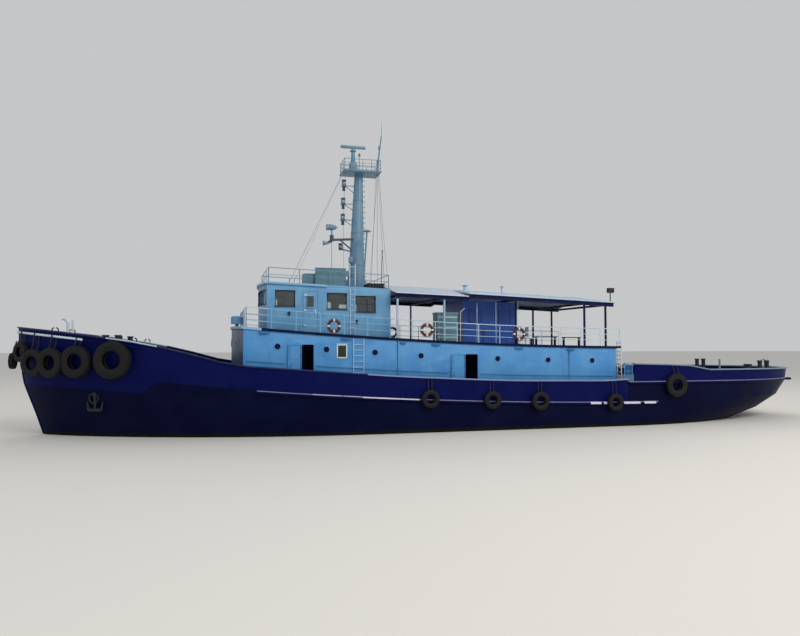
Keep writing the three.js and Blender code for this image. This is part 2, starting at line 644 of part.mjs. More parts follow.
// Wheelhouse
const WHEELHOUSE = { fore: -5780, aft: -2427, half: 1300, bulge: 125, wall: 35 };
const ROOF_THICK = 55;
const roofTop = (x) => 3977 - 0.0396 * (x + 5910);
const roofUnder = lift(roofTop, -ROOF_THICK);
const overBoatDeck = slab(-7500, 5500, lift(boatDeckTop, GAP), high);
const wheelhouseSpace = common(overBoatDeck, slab(-7500, 5500, () => 1500, roofUnder));

// Side windows and the door opening: [x0, x1, sill, head]
const SIDE_WINDOWS = [[-5560, -5045, 3330, 3745], [-4185, -3650, 3265, 3695], [-3415, -2850, 3195, 3630]];
const WHEEL_DOOR = { x0: -4834, x1: -4441, sill: 70, head: 3735, thick: 28 };
const WHEEL_DOOR_AXIS_Y = -(WHEELHOUSE.half + 16);

const ROOF_LADDER = { x0: -3560, x1: -3430 };
function wheelhouseSide() {
  const wall = box(WHEELHOUSE.fore + GAP, WHEELHOUSE.aft, -WHEELHOUSE.half,
    -WHEELHOUSE.half + WHEELHOUSE.wall, 1500, 5000);
  const holes = SIDE_WINDOWS.map(([x0, x1, z0, z1]) =>
    box(x0, x1, -WHEELHOUSE.half - 20, -WHEELHOUSE.half + 60, z0, z1));
  const sill = boatDeckTop(WHEEL_DOOR.x0) + WHEEL_DOOR.sill;
  holes.push(box(WHEEL_DOOR.x0, WHEEL_DOOR.x1, -WHEELHOUSE.half - 20, -WHEELHOUSE.half + 60,
    sill, WHEEL_DOOR.head));
  const lugs = [0.15, 0.85].map((share) => {
    const z = sill + share * (WHEEL_DOOR.head - sill);
    return join(post(WHEEL_DOOR.x0, WHEEL_DOOR_AXIS_Y, z - 40, z, PIN, 10),
      box(WHEEL_DOOR.x0 - 30, WHEEL_DOOR.x0 - 3, WHEEL_DOOR_AXIS_Y - 4, -WHEELHOUSE.half + 5, z - 40, z - 10),
      box(WHEEL_DOOR.x0 - 12, WHEEL_DOOR.x0, WHEEL_DOOR_AXIS_Y - 4, WHEEL_DOOR_AXIS_Y + 4, z - 38, z - 4));
  });
  const ladder = wallLadder(ROOF_LADDER.x0, ROOF_LADDER.x1, -WHEELHOUSE.half,
    boatDeckTop(ROOF_LADDER.x0) + 8, roofUnder(ROOF_LADDER.x1) - 5);
  return common(join(cut(wall, ...holes), ...lugs, ...ladder), wheelhouseSpace);
}
function wheelDoor() {
  const z0 = boatDeckTop(WHEEL_DOOR.x0) + WHEEL_DOOR.sill + 6;
  const z1 = WHEEL_DOOR.head - 6;
  const y0 = -WHEELHOUSE.half - 2;
  const leaf = box(WHEEL_DOOR.x0 + 8, WHEEL_DOOR.x1 - 6, y0, y0 + WHEEL_DOOR.thick, z0, z1);
  const pane = box(-4725, -4550, y0 - 20, y0 + 60, 3290, 3610);
  const sill = z0 - 6;
  const lugs = [0.15, 0.85].map((share) => {
    const z = sill + share * (WHEEL_DOOR.head - sill);
    return join(post(WHEEL_DOOR.x0, WHEEL_DOOR_AXIS_Y, z + GAP, z + 40, PIN, 10),
      box(WHEEL_DOOR.x0 + 4, WHEEL_DOOR.x0 + 40, WHEEL_DOOR_AXIS_Y - 5, y0 + 4, z + 10, z + 36));
  });
  return join(cut(leaf, pane), ...lugs);
}
function wheelhouseFront() {
  const wall = common(frontWall(WHEELHOUSE.fore, WHEELHOUSE.half, WHEELHOUSE.bulge, WHEELHOUSE.wall,
    1500, 5000), wheelhouseSpace);
  const holes = [];
  for (let i = 0; i < 5; i++) {
    const y = (i - 2) * 500;
    holes.push(box(-6200, WHEELHOUSE.fore + 300, y - 195, y + 195, 3370, 3770));
  }
  return cut(wall, ...holes);
}
add('wheelhouse_front', wheelhouseFront(), WHEELHOUSE_BLUE);
const wheelSide = wheelhouseSide();
add('wheelhouse_port', wheelSide, WHEELHOUSE_BLUE);
add('wheelhouse_starboard', mirrored(wheelSide), WHEELHOUSE_BLUE);
const WH_AFT_HALF = WHEELHOUSE.half - WHEELHOUSE.wall - GAP;
add('wheelhouse_aft', common(box(WHEELHOUSE.aft - WHEELHOUSE.wall, WHEELHOUSE.aft,
  -WH_AFT_HALF, WH_AFT_HALF, 1500, 5000), wheelhouseSpace), WHEELHOUSE_BLUE);
const door = wheelDoor();
add('wheelhouse_door_port', door, WHEELHOUSE_BLUE);
add('wheelhouse_door_starboard', mirrored(door), WHEELHOUSE_BLUE);

// Glass: a front sheet that returns along the sides to the doors, and one sheet aft of each door
const PANE = 8;
const GLASS_Z = [3180, 3810];
function glassFront() {
  const half = WHEELHOUSE.half - WHEELHOUSE.wall - GAP;
  const bulge = WHEELHOUSE.bulge - WHEELHOUSE.wall - GAP;
  const outer = frontArc(WHEELHOUSE.fore, half, bulge);
  const inner = frontArc(WHEELHOUSE.fore, half - PANE, bulge - PANE).reverse();
  const end = -4900;
  return planPanel([...outer, [end, half], [end, half - PANE], ...inner, [end, PANE - half], [end, -half]],
    3280, GLASS_Z[1]);
}
add('wheelhouse_glass_front', glassFront(), GLASS);
const glassSide = box(-4260, -2780, -WHEELHOUSE.half + WHEELHOUSE.wall + GAP,
  -WHEELHOUSE.half + WHEELHOUSE.wall + GAP + PANE, 3150, 3720);
add('wheelhouse_glass_port', glassSide, GLASS);
add('wheelhouse_glass_starboard', mirrored(glassSide), GLASS);

const ROOF_OVER = 55;
// Thin uprights on the roof: foot x, y, top x, top z, radius, cap radius
const ROOF_POLES = [
  [-3054, -600, -2940, 5535, 22, 130], [-2600, -900, -2564, 4938, 14, 30],
];
const roofPlate = common(
  planPanel([...frontArc(WHEELHOUSE.fore - ROOF_OVER, WHEELHOUSE.half + ROOF_OVER, WHEELHOUSE.bulge),
    [-4190, WHEELHOUSE.half + ROOF_OVER], [-4190, WHEELHOUSE.half], [WHEELHOUSE.aft, WHEELHOUSE.half],
    [WHEELHOUSE.aft, -WHEELHOUSE.half], [-4190, -WHEELHOUSE.half],
    [-4190, -WHEELHOUSE.half - ROOF_OVER]], 3000, 5000),
  slab(-7500, 0, lift(roofUnder, GAP), roofTop));
add('wheelhouse_roof', join(roofPlate, ...ROOF_POLES.flatMap(([x, y, topX, topZ, radius, cap]) => [
  bar([x, y, roofTop(x) - 20], [topX, y, topZ], radius, 8),
  post(topX, y, topZ - 20, topZ + 25, cap, 10, cap * 0.6)])), WHEELHOUSE_BLUE);

// Mast with its brackets and lamps
const MAST = { x: -3120, foot: 390, waist: 280, waistZ: 4450, head: 150, topX: -3060, top: 7290 };
const overRoof = slab(-7500, 0, lift(roofTop, GAP), () => 9500);
function makeMast() {
  const sections = [
    [roofTop(MAST.x) - 40, MAST.x, MAST.foot], [MAST.waistZ, MAST.x, MAST.waist],
    [MAST.top, MAST.topX, MAST.head],
  ];
  const column = loft(sections.map(([z, x, r]) => {
    const ring = [];
    for (let i = 0; i < 12; i++) {
      const a = (i * Math.PI) / 6;
      ring.push([x + (r * Math.cos(a)) * 0.82, r * 0.72 * Math.sin(a), z]);
    }
    return ring;
  }));
  // Lamp brackets forward of the mast: [z, reach]
  const lamps = [[6980, 420], [6450, 440], [5980, 450]].flatMap(([z, reach]) => [
    box(-3120 - reach, -3000, -14, 14, z - 60, z - 36),
    post(-3120 - reach + 40, 0, z - 60, z + 110, 62, 10),
    post(-3120 - reach + 40, 0, z - 200, z - 40, 45, 8),
  ]);
  const arm = [
    bar([-3900, -300, 5290], [-3120, -60, 5370], 34, 6),
    bar([-3650, -240, 5300], [-3180, -60, 4980], 22, 6),
    post(-3900, -300, 5250, 5420, 60, 8),
    bar([-4060, -300, 5190], [-3880, -300, 5300], 26, 6),
    bar([-3560, -60, 5060], [-3200, -40, 4990], 22, 6),
    post(-3600, -60, 5040, 5230, 62, 8),
  ];
  return common(join(column, ...lamps, ...arm), overRoof);
}
add('mast', makeMast(), STEEL_BLUE);

const PLATFORM = { x0: -3560, x1: -2470, half: 380, z: MAST.top + GAP, thick: 30, rail: 330 };
function makePlatform() {
  const { x0, x1, half, z, thick, rail } = PLATFORM;
  const pieces = [box(x0, x1, -half, half, z, z + thick)];
  const corners = [[x0 + 20, -half + 20], [x1 - 20, -half + 20], [x1 - 20, half - 20], [x0 + 20, half - 20]];
  corners.forEach(([ax, ay], i) => {
    const [bx, by] = corners[(i + 1) % 4];
    const posts = i % 2 ? 2 : 4;
    for (let k = 0; k < posts; k++) {
      const t = k / posts;
      pieces.push(post(ax + (bx - ax) * t, ay + (by - ay) * t, z + 5, z + rail, 11, 4));
    }
    for (const height of [rail / 2, rail]) {
      pieces.push(bar([ax, ay, z + height], [bx, by, z + height], 9, 4));
    }
  });
  pieces.push(box(-3330, -3130, -100, 100, z + 10, z + 330));
  pieces.push(post(-3230, 0, z + 300, z + 700, 70, 10, 50));
  const poleFoot = [x1 - 60, 0, z + 10];
  pieces.push(bar(poleFoot, [-2380, 0, 8470], 26, 8));
  pieces.push(bar([-2382, 0, 8440], [-2370, 0, 8930], 8, 6));
  return join(...pieces);
}
add('mast_platform', makePlatform(), STEEL_BLUE);
const SCANNER = { x: -3230, z: PLATFORM.z + 700 + GAP, length: 740 };
add('radar_scanner', join(
  post(SCANNER.x, 0, SCANNER.z, SCANNER.z + 60, 48, 12),
  box(SCANNER.x - SCANNER.length / 2, SCANNER.x + SCANNER.length / 2, -45, 45,
    SCANNER.z + 50, SCANNER.z + 130)),
PALE);

const LIGHT = { x: -3900, y: -300, z: 5420 + GAP };
add('searchlight', join(
  post(LIGHT.x, LIGHT.y, LIGHT.z, LIGHT.z + 160, 22, 10),
  bar([LIGHT.x - 160, LIGHT.y, LIGHT.z + 225], [LIGHT.x + 160, LIGHT.y, LIGHT.z + 225], 85, 14)), PALE);

// Stays: two forward and two aft, each pair joined at the mast by its plate
function stays(plateX, plateZ, footX, footY) {
  const plate = box(plateX - 12, plateX + 12, -90, 90, plateZ - 12, plateZ + 12);
  const foot = roofTop(footX) + GAP;
  const pair = [-1, 1].flatMap((s) => [
    bar([plateX, s * 60, plateZ], [footX, s * footY, foot + 30], 7, 5),
    box(footX - 25, footX + 25, s * footY - 25, s * footY + 25, foot - 10, foot + 40),
  ]);
  return common(join(plate, ...pair), overRoof);
}
add('forestays', stays(-3540, PLATFORM.z - 12.3 - GAP, -5050, 900), GALVANISED);
add('backstays', stays(-2490, PLATFORM.z - 12.3 - GAP, -2520, 1000), GALVANISED);

// Rails: square posts on a floor that follows the sheer, with bars between corners
function railRun(corners, floor, height, pitch, bars, half) {
  const pieces = [];
  const upright = (x, y) => box(x - half - 3, x + half + 3, y - half - 3, y + half + 3,
    Math.max(floor(x - half - 3), floor(x + half + 3)) + GAP, floor(x) + height + half + 4);
  for (let i = 0; i + 1 < corners.length; i++) {
    const [ax, ay] = corners[i];
    const [bx, by] = corners[i + 1];
    const length = Math.hypot(bx - ax, by - ay);
    const spans = Math.max(1, Math.round(length / pitch));
    for (let k = 0; k < spans; k++) {
      pieces.push(upright(ax + ((bx - ax) * k) / spans, ay + ((by - ay) * k) / spans));
    }
    const steps = Math.max(1, Math.round(length / 2600));
    const [wx, wy] = Math.abs(bx - ax) > Math.abs(by - ay) ? [0, half] : [half, 0];
    for (let b = 1; b <= bars; b++) {
      const rings = [];
      for (let k = 0; k <= steps; k++) {
        const x = ax + ((bx - ax) * k) / steps;
        const y = ay + ((by - ay) * k) / steps;
        const z = floor(x) + (height * b) / bars;
        rings.push([[x - wx, y - wy, z - half], [x + wx, y + wy, z - half],
          [x + wx, y + wy, z + half], [x - wx, y - wy, z + half]]);
      }
      pieces.push(loft(rings));
    }
  }
  pieces.push(upright(...corners[corners.length - 1]));
  return pieces;
}

const RAIL_Y = HOUSE.half + 10;
const RAIL_HEIGHT = 500;
// Lifebuoys hung on the rail: [x, z]
const LIFEBUOYS = [[-4097, 2792], [-1563, 2702], [1129, 2604]];
const LIFEBUOY = { ring: 145, tube: 37 };
function makeBoatRail() {
  const run = [[BOAT_DECK_AFT - 30, -RAIL_Y], [-6330, -RAIL_Y], [-6330, RAIL_Y], [BOAT_DECK_AFT - 30, RAIL_Y]];
  const buoys = LIFEBUOYS.flatMap(([x, z]) => {
    const ring = new THREE.TorusGeometry(LIFEBUOY.ring, LIFEBUOY.tube, 5, 12)
      .rotateX(Math.PI / 2).translate(x, -RAIL_Y - 4 - LIFEBUOY.tube, z);
    return [ring, mirrored(ring)];
  });
  return join(...railRun(run, boatDeckTop, RAIL_HEIGHT, 1280, 3, 9), ...buoys);
}
add('boat_deck_rail', makeBoatRail(), PALE);

function makeRoofRail() {
  const y = WHEELHOUSE.half - 20;
  const run = [[-2480, -y], [-5740, -y], [-5740, y], [-2480, y], [-2480, -y]];
  return join(...railRun(run, roofTop, 380, 1640, 2, 8));
}
add('roof_rail', makeRoofRail(), PALE);

add('roof_console', common(box(-4790, -3770, -1100, -700, 3800, 4230), overRoof), PALE);
add('name_board', common(box(-4490, -3660, -1180, -1150, 3800, 4380), overRoof), PALE);

// Canopy abaft the wheelhouse
const CANOPY = { x0: -2410, x1: -310, half: 1800, ridge: 4065, eave: 3720 };
const AFT_ROOF = { x0: -290, x1: 4260, half: 1780 };
const canopyFall = (x) => -0.033 * (x - CANOPY.x0);
function gable(x0, x1, half, ridge, eave, thick) {
  const slope = (s) => loft([x0, x1].map((x) => {
    const r = ridge(x);
    const e = eave(x);
    return [[x, s * half, e], [x, 0, r], [x, 0, r - thick], [x, s * half, e - thick]];
  }));
  return join(slope(-1), slope(1));
}
add('canopy_sheet', gable(CANOPY.x0, CANOPY.x1, CANOPY.half, lift(canopyFall, CANOPY.ridge),
  lift(canopyFall, CANOPY.eave), 24), PALE);
const aftRidge = (x) => 3945 - 0.04 * x;
const aftEave = (x) => 3725 - 0.04 * x;
const ROOF_VENT = { x: 123, y: -300, z: 4119 };
add('aft_roof', join(
  gable(AFT_ROOF.x0, AFT_ROOF.x1, AFT_ROOF.half, aftRidge, aftEave, 30),
  post(ROOF_VENT.x, ROOF_VENT.y, aftRidge(ROOF_VENT.x) - 60, ROOF_VENT.z - 40, 55, 10),
  post(ROOF_VENT.x, ROOF_VENT.y, ROOF_VENT.z - 70, ROOF_VENT.z, 100, 12, 60)), PALE);

// Posts and beams under the canopies: [x]
const CANOPY_POSTS = [-2330, -1000, 1130, 3290, 3980];
const POST_Y = 1690;
const roofUnderAt = (x, y) => {
  const fore = x < AFT_ROOF.x0;
  const ridge = fore ? CANOPY.ridge + canopyFall(x) - 24 : aftRidge(x) - 30;
  const eave = fore ? CANOPY.eave + canopyFall(x) - 24 : aftEave(x) - 30;
  return ridge + ((eave - ridge) * Math.abs(y)) / (fore ? CANOPY.half : AFT_ROOF.half);
};
function makeCanopyFrame() {
  const pieces = [];
  for (const x of CANOPY_POSTS) {
    for (const s of [-1, 1]) {
      pieces.push(box(x - 24, x + 24, s * POST_Y - 24, s * POST_Y + 24, boatDeckTop(x) - 40,
        roofUnderAt(x, POST_Y) - 60));
    }
    pieces.push(box(x - 20, x + 20, -POST_Y, POST_Y, roofUnderAt(x, POST_Y) - 110, roofUnderAt(x, POST_Y) - 50));
  }
  for (const s of [-1, 1]) {
    for (const [x0, x1] of [[-2380, -300], [-260, 4230]]) {
      pieces.push(loft([x0, x1].map((x) => {
        const z = roofUnderAt(x, POST_Y + 40) - GAP;
        return [[x, s * POST_Y - 40, z - 110], [x, s * POST_Y + 40, z - 110],
          [x, s * POST_Y + 40, z], [x, s * POST_Y - 40, z]];
      })));
    }
    pieces.push(box(-308, -240, s * POST_Y - 40, s * POST_Y + 40, 3560, 3690));
  }
  return common(join(...pieces), overBoatDeck);
}
add('canopy_frame', makeCanopyFrame(), DARK_STEEL);

const CASING = { x0: -166, x1: 1487, half: 910 };
add('engine_casing', common(
  box(CASING.x0, CASING.x1, -CASING.half, CASING.half, 2000, 5000),
  slab(-500, 2000, lift(boatDeckTop, GAP), (x) => aftEave(x) - 130)), CASING_BLUE);
add('deck_locker', common(box(-1145, -560, -1560, -1120, 2000, 3190),
  slab(-2000, 0, lift(boatDeckTop, GAP), () => 3190)), TEAL);

// Anchors in their hawses
const ANCHOR = { x: -9915, z: 842 };
function makeAnchor() {
  const y = -hullHalf(ANCHOR.x, ANCHOR.z);
  const [nx, ny] = outward(ANCHOR.x, ANCHOR.z);
  const at = (out, alongHull, up) =>
    [ANCHOR.x + nx * out - ny * alongHull, y + ny * out + nx * alongHull, ANCHOR.z + up];
  const pieces = [
    bar(at(60, 0, -150), at(60, 0, 260), 30, 8),
    bar(at(60, -170, -150), at(60, 170, -150), 40, 8),
    bar(at(60, -170, -150), at(60, -210, 60), 34, 6, 12),
    bar(at(60, 170, -150), at(60, 210, 60), 34, 6, 12),
    bar(at(-30, 0, 230), at(90, 0, 230), 60, 10),
  ];
  return cut(join(...pieces), envelope(GAP));
}
const anchor = makeAnchor();
add('anchor_port', anchor, DARK_STEEL);
add('anchor_starboard', mirrored(anchor), DARK_STEEL);

// Windlass on the forecastle
const WINDLASS = { x: -10000, z: forecastleDeck(-9850) + 210, half: 260 };
add('windlass_frame', common(join(
  box(WINDLASS.x - 200, WINDLASS.x + 200, -320, 320, 1900, forecastleDeck(WINDLASS.x + 200) + 60),
  box(WINDLASS.x - 70, WINDLASS.x + 70, -300, -262, 2100, WINDLASS.z + 70),
  box(WINDLASS.x - 70, WINDLASS.x + 70, 262, 300, 2100, WINDLASS.z + 70)),
slab(-FAR, FORECASTLE_AFT_X, overForecastle, high)), DARK_STEEL);
add('windlass_drum', join(
  bar([WINDLASS.x, -261.7, WINDLASS.z], [WINDLASS.x, 261.7, WINDLASS.z], 40, 14),
  bar([WINDLASS.x, -180, WINDLASS.z], [WINDLASS.x, 180, WINDLASS.z], 90, 14),
  bar([WINDLASS.x, -200, WINDLASS.z], [WINDLASS.x, -170, WINDLASS.z], 130, 14),
  bar([WINDLASS.x, 170, WINDLASS.z], [WINDLASS.x, 200, WINDLASS.z], 130, 14)), GALVANISED);

// Towing post and hook on the poop
const TOW = { x: 5200, pin: 5400, z: POOP_Z + 330 };
add('towing_post', join(
  box(TOW.x - 90, TOW.x + 90, -240, 240, OVER_POOP, POOP_Z + 420),
  box(TOW.x + 60, TOW.pin + 50, -60, 60, TOW.z - 60, TOW.z - 30)), DARK_STEEL);
add('towing_hook', join(
  post(TOW.pin, 0, TOW.z - 30 + GAP, TOW.z + 40, 40, 12),
  box(TOW.pin, TOW.pin + 300, -24, 24, TOW.z - 20, TOW.z + 30),
  box(TOW.pin + 250, TOW.pin + 300, -24, 24, TOW.z + 20, TOW.z + 110)), GALVANISED);

// Floodlight at the aft end of the canopy
add('floodlight', cut(join(
  post(4200, -1600, 3400, 3860, 16, 8),
  box(4120, 4300, -1660, -1540, 3840, 3980)),
gable(AFT_ROOF.x0, AFT_ROOF.x1, AFT_ROOF.half, lift(aftRidge, GAP), lift(aftEave, GAP), 300)), DARK_STEEL);

// Ventilator at the front of the boat deck
add('front_ventilator', common(join(
  post(-6500, 0, boatDeckTop(-6500) - 20, boatDeckTop(-6500) + 120, 60, 12),
  post(-6500, 0, boatDeckTop(-6500) + 100, boatDeckTop(-6500) + 320, 165, 14)), overBoatDeck), STEEL_BLUE);

export default ship;
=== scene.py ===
"""Finishes and fine pieces of a long sea tugboat, a 1:2 scale model, in metres.

The bow points to -X, the port side faces -Y, +Z is up, and the waterline is Z = 0.
"""

from __future__ import annotations

import json
import logging
import math
from abc import ABC, abstractmethod
from collections.abc import Callable, Iterable, Iterator, Mapping, Sequence
from contextlib import contextmanager
from dataclasses import dataclass, field
from enum import Enum
from functools import cached_property

import bmesh
import bpy
from bmesh.types import BMesh
from bpy.types import Material, Node, NodeSocket, Object
from mathutils import Matrix, Vector
from mathutils.bvhtree import BVHTree


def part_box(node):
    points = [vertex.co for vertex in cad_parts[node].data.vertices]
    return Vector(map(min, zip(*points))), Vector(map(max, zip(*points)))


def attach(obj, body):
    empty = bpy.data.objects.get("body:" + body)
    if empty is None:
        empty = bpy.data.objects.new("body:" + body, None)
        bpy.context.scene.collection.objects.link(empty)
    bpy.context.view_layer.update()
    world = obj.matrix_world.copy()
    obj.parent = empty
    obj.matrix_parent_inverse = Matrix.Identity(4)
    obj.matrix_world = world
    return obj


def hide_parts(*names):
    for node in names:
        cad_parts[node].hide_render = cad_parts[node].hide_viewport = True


LOG = logging.getLogger("tugboat")
Point = Sequence[float]
Value = float | NodeSocket
PORT, STARBOARD = -1, 1
BOTH = (PORT, STARBOARD)
SIDES = ((PORT, "port"), (STARBOARD, "starboard"))
SHIP = "ship"
QUARTERS = ("bow", "port", "starboard", "stern")
BULWARKS = tuple(f"bulwark_{part}" for part in QUARTERS)
CAPS = tuple(f"cap_rail_{part}" for part in QUARTERS)
SHELL = ("hull", "forecastle", "poop")
MIRROR = Matrix.Diagonal((1, -1, 1, 1))  # port to starboard
UP = Vector((0, 0, 1))
POOP_DECK = 1.262  # height of the poop's deck
AFT_WALL = 4.217  # place of the deckhouse's after face


def linear(colour: str) -> tuple[float, float, float, float]:
    """Turn an sRGB hex colour into a linear one.

    Args:
        colour: Six hex digits.

    Returns:
        Linear red, green and blue, with an alpha of 1.
    """
    parts = [int(colour[i : i + 2], 16) / 255 for i in (0, 2, 4)]
    lit = [c / 12.92 if c <= 0.04045 else ((c + 0.055) / 1.055) ** 2.4 for c in parts]
    return lit[0], lit[1], lit[2], 1.0


class Graph:
    """A material's nodes round its shader, placed by the object's own coordinates."""

    def __init__(self, name: str) -> None:
        """Make a material that holds only its shader.

        Args:
            name: The finish's name.
        """
        self.material = bpy.data.materials.new(name)
        self.material.use_nodes = True
        self.tree = self.material.node_tree

    @cached_property
    def place(self) -> NodeSocket:
        """Give the object's coordinates."""
        return self.add("ShaderNodeTexCoord").outputs["Object"]

    def feed(self, node: Node, inputs: Mapping[str | int, object]) -> None:
        """Set a node's inputs.

        Args:
            node: The node.
            inputs: For each input, a value or the output socket to link.
        """
        for key, value in inputs.items():
            if isinstance(value, NodeSocket):
                self.tree.links.new(value, node.inputs[key])
            else:
                node.inputs[key].default_value = value

    def add(
        self, kind: str, inputs: Mapping[str | int, object] | None = None, **settings: object
    ) -> Node:
        """Add a node with its settings, its values and its links.

        Args:
            kind: The node's type name.
            inputs: For each input, a value or the output socket to link.
            **settings: The node's own properties.

        Returns:
            The new node.
        """
        node = self.tree.nodes.new(kind)
        for name, value in settings.items():
            setattr(node, name, value)
        self.feed(node, inputs or {})
        return node

    def coat(self, inputs: Mapping[str | int, object]) -> None:
        """Set the shader's inputs, each to a value or an output socket."""
        self.feed(self.tree.nodes["Principled BSDF"], inputs)

    def axes(self, vector: NodeSocket | None = None) -> tuple[NodeSocket, ...]:
        """Split a vector, or else the object's coordinates, into X, Y and Z."""
        return tuple(self.add("ShaderNodeSeparateXYZ", {0: vector or self.place}).outputs)

    def noise(
        self, scale: float, detail: float, rough: float = 0.5, stretch: Point | None = None
    ) -> NodeSocket:
        """Add a noise.

        Args:
            scale: Its scale.
            detail: Its octaves.
            rough: How much the fine octaves count.
            stretch: Factors on the coordinates, if it is drawn out.

        Returns:
            Its value.
        """
        at = self.place
        if stretch:
            at = self.add("ShaderNodeMapping", {"Vector": at, "Scale": stretch}).outputs[0]
        inputs = {"Vector": at, "Scale": scale, "Detail": detail, "Roughness": rough}
        return self.add("ShaderNodeTexNoise", inputs).outputs[0]

    def math(self, operation: str, *values: Value) -> NodeSocket:
        """Work out one operation on values or sockets."""
        return self.add("ShaderNodeMath", dict(enumerate(values)), operation=operation).outputs[0]

    def ramp(
        self, value: NodeSocket, start: float, end: float, low: float = 0.0, high: float = 1.0
    ) -> NodeSocket:
        """Map a value's span from start to end onto one from low to high."""
        spans = {0: value, 1: start, 2: end, 3: low, 4: high}
        return self.add("ShaderNodeMapRange", spans).outputs[0]

    def mix(self, share: NodeSocket, base: str | NodeSocket, other: str) -> NodeSocket:
        """Mix a share of another colour into a base colour.

        Args:
            share: How much there is of the other colour.
            base: The base colour, or the output that gives it.
            other: The other colour.

        Returns:
            The mixed colour.
        """
        first = linear(base) if isinstance(base, str) else base
        inputs = {0: share, 6: first, 7: linear(other)}
        return self.add("ShaderNodeMix", inputs, data_type="RGBA").outputs[2]

    def bump(self, height: NodeSocket, strength: float, distance: float) -> None:
        """Give the shader's normal a relief."""
        inputs = {"Strength": strength, "Distance": distance, "Height": height}
        self.coat({"Normal": self.add("ShaderNodeBump", inputs).outputs[0]})


@dataclass(frozen=True)
class Finish(ABC):
    """What a surface is coated with or made of."""

    name: str

    @abstractmethod
    def lay(self, graph: Graph) -> None:
        """Lay the finish's nodes in a material."""

    def make(self) -> Material:
        """Build the material from the nodes that the finish lays.

        Returns:
            The finished material.
        """
        graph = Graph(self.name)
        self.lay(graph)
        return graph.material


@dataclass(frozen=True)
class MarineEnamel(Finish):
    """Alkyd enamel rolled on primed steel: satin, a little chalked, with runs of dirt and rust."""

    colour: str
    worn: str
    run: str = "6b5a4a"
    run_share: float = 0.22
    roughness: float = 0.4
    patch: float = 0.6  # size of a faded patch
    plate: tuple[float, float] = (1.5, 0.62)  # welded plates, half the real size
    seam: float = 0.0015  # height of a weld bead
    bead: float = 0.006  # half a bead's width: about 5 mm here, drawn 12 mm wide so that it shows
    dent: float = 0.004  # depth of the hollows between frames
    frames: float = 0.55  # size of such a hollow
    stipple: float = 0.0002  # height of the roller's stipple
    nap: float = 0.012  # size of the stipple
    bands: tuple[tuple[str, float, float], ...] = ()  # other colours, each from a place to a place
    band_top: float = 20.0  # bands end at this height
    deck: str | None = None  # colour of faces that look up
    ledge: float = 0.7  # how far up such a face looks, as its normal's height
    wet: tuple[str, str] | None = None  # fouling above and antifouling below the water
    gloss: float = 0.5  # how much the paint film mirrors

    def lay(self, graph: Graph) -> None:
        """Lay faded patches, bands, runs, the deck's and the bottom's colours, and the relief.

        Args:
            graph: The material's nodes.
        """
        x, y, z = graph.axes()
        patches = graph.noise(1 / self.patch, 6.0, 0.65)
        colour = graph.mix(graph.ramp(patches, 0.42, 0.78), self.colour, self.worn)
        for hue, start, end in self.bands:
            inside = graph.math("COMPARE", x, (start + end) / 2, (end - start) / 2)
            below = graph.math("LESS_THAN", z, self.band_top)
            colour = graph.mix(graph.math("MULTIPLY", inside, below), colour, hue)
        # Runs are drawn out down the plate: narrow across, long in height
        runs = graph.noise(1.0, 4.0, stretch=(16.0, 16.0, 1.1))
        colour = graph.mix(graph.ramp(runs, 0.56, 0.8, high=self.run_share), colour, self.run)
        # Faces that look up get another colour: a deck's coating, and on the strake a painted highlight of
        # the sky.
        if self.deck:
            up = graph.axes(graph.add("ShaderNodeNewGeometry").outputs["Normal"])[2]
            colour = graph.mix(graph.math("GREATER_THAN", up, self.ledge), colour, self.deck)
        if self.wet:
            ragged = graph.math("MULTIPLY_ADD", runs, 0.22, -0.02)
            for level, hue in zip((ragged, -0.015), self.wet):
                colour = graph.mix(graph.math("LESS_THAN", z, level), colour, hue)
        matt = graph.ramp(patches, 0.0, 1.0, self.roughness - 0.1, self.roughness + 0.2)
        graph.coat({"Base Color": colour, "Roughness": matt, "Specular IOR Level": self.gloss})
        flat = graph.add("ShaderNodeCombineXYZ", {0: graph.math("ADD", x, y), 1: z}).outputs[0]
        plates = graph.add("ShaderNodeTexBrick", {
            "Vector": flat, "Scale": 1.0, "Mortar Size": self.bead, "Mortar Smooth": 0.6,
            "Brick Width": self.plate[0], "Row Height": self.plate[1],
        })
        seams = graph.math("MULTIPLY", plates.outputs["Fac"], self.seam)
        waves = graph.math("MULTIPLY_ADD", graph.noise(1 / self.frames, 1.0), self.dent, seams)
        grain = graph.noise(1 / self.nap, 2.0)
        graph.bump(graph.math("MULTIPLY_ADD", grain, self.stipple, waves), 1.0, 1.0)


@dataclass(frozen=True)
class DeckCoating(Finish):
    """Epoxy deck coating strewn with grit while wet: matt, rough to the hand, worn on the walkways."""

    name: str = "grit_deck_coating"
    colour: str = "4b5761"
    worn: str = "6d6f6b"
    grit: float = 0.004  # drawn coarser than the real 1 mm so that it shows

    def lay(self, graph: Graph) -> None:
        """Lay worn patches and grit.

        Args:
            graph: The material's nodes.
        """
        worn = graph.ramp(graph.noise(1.4, 7.0, 0.7), 0.45, 0.7)
        graph.coat({"Base Color": graph.mix(worn, self.colour, self.worn), "Roughness": 0.85})
        graph.bump(graph.noise(1 / self.grit, 2.0), 0.5, 0.002)


@dataclass(frozen=True)
class TyreRubber(Finish):
    """Vulcanised rubber, aged outdoors: matt black gone grey, with scuffs and fine cracks."""

    name: str = "aged_tyre_rubber"
    colour: str = "050508"
    scuffed: str = "1b1b1f"

    def lay(self, graph: Graph) -> None:
        """Lay scuffs and cracks.

        Args:
            graph: The material's nodes.
        """
        share = graph.ramp(graph.noise(9.0, 8.0, 0.7), 0.5, 0.85, high=0.7)
        colour = graph.mix(share, self.colour, self.scuffed)
        graph.coat({"Base Color": colour, "Roughness": 0.72, "Specular IOR Level": 0.35})
        cells = {"Vector": graph.place, "Scale": 60.0}
        cracks = graph.add("ShaderNodeTexVoronoi", cells, feature="DISTANCE_TO_EDGE")
        graph.bump(cracks.outputs[0], 0.35, 0.002)


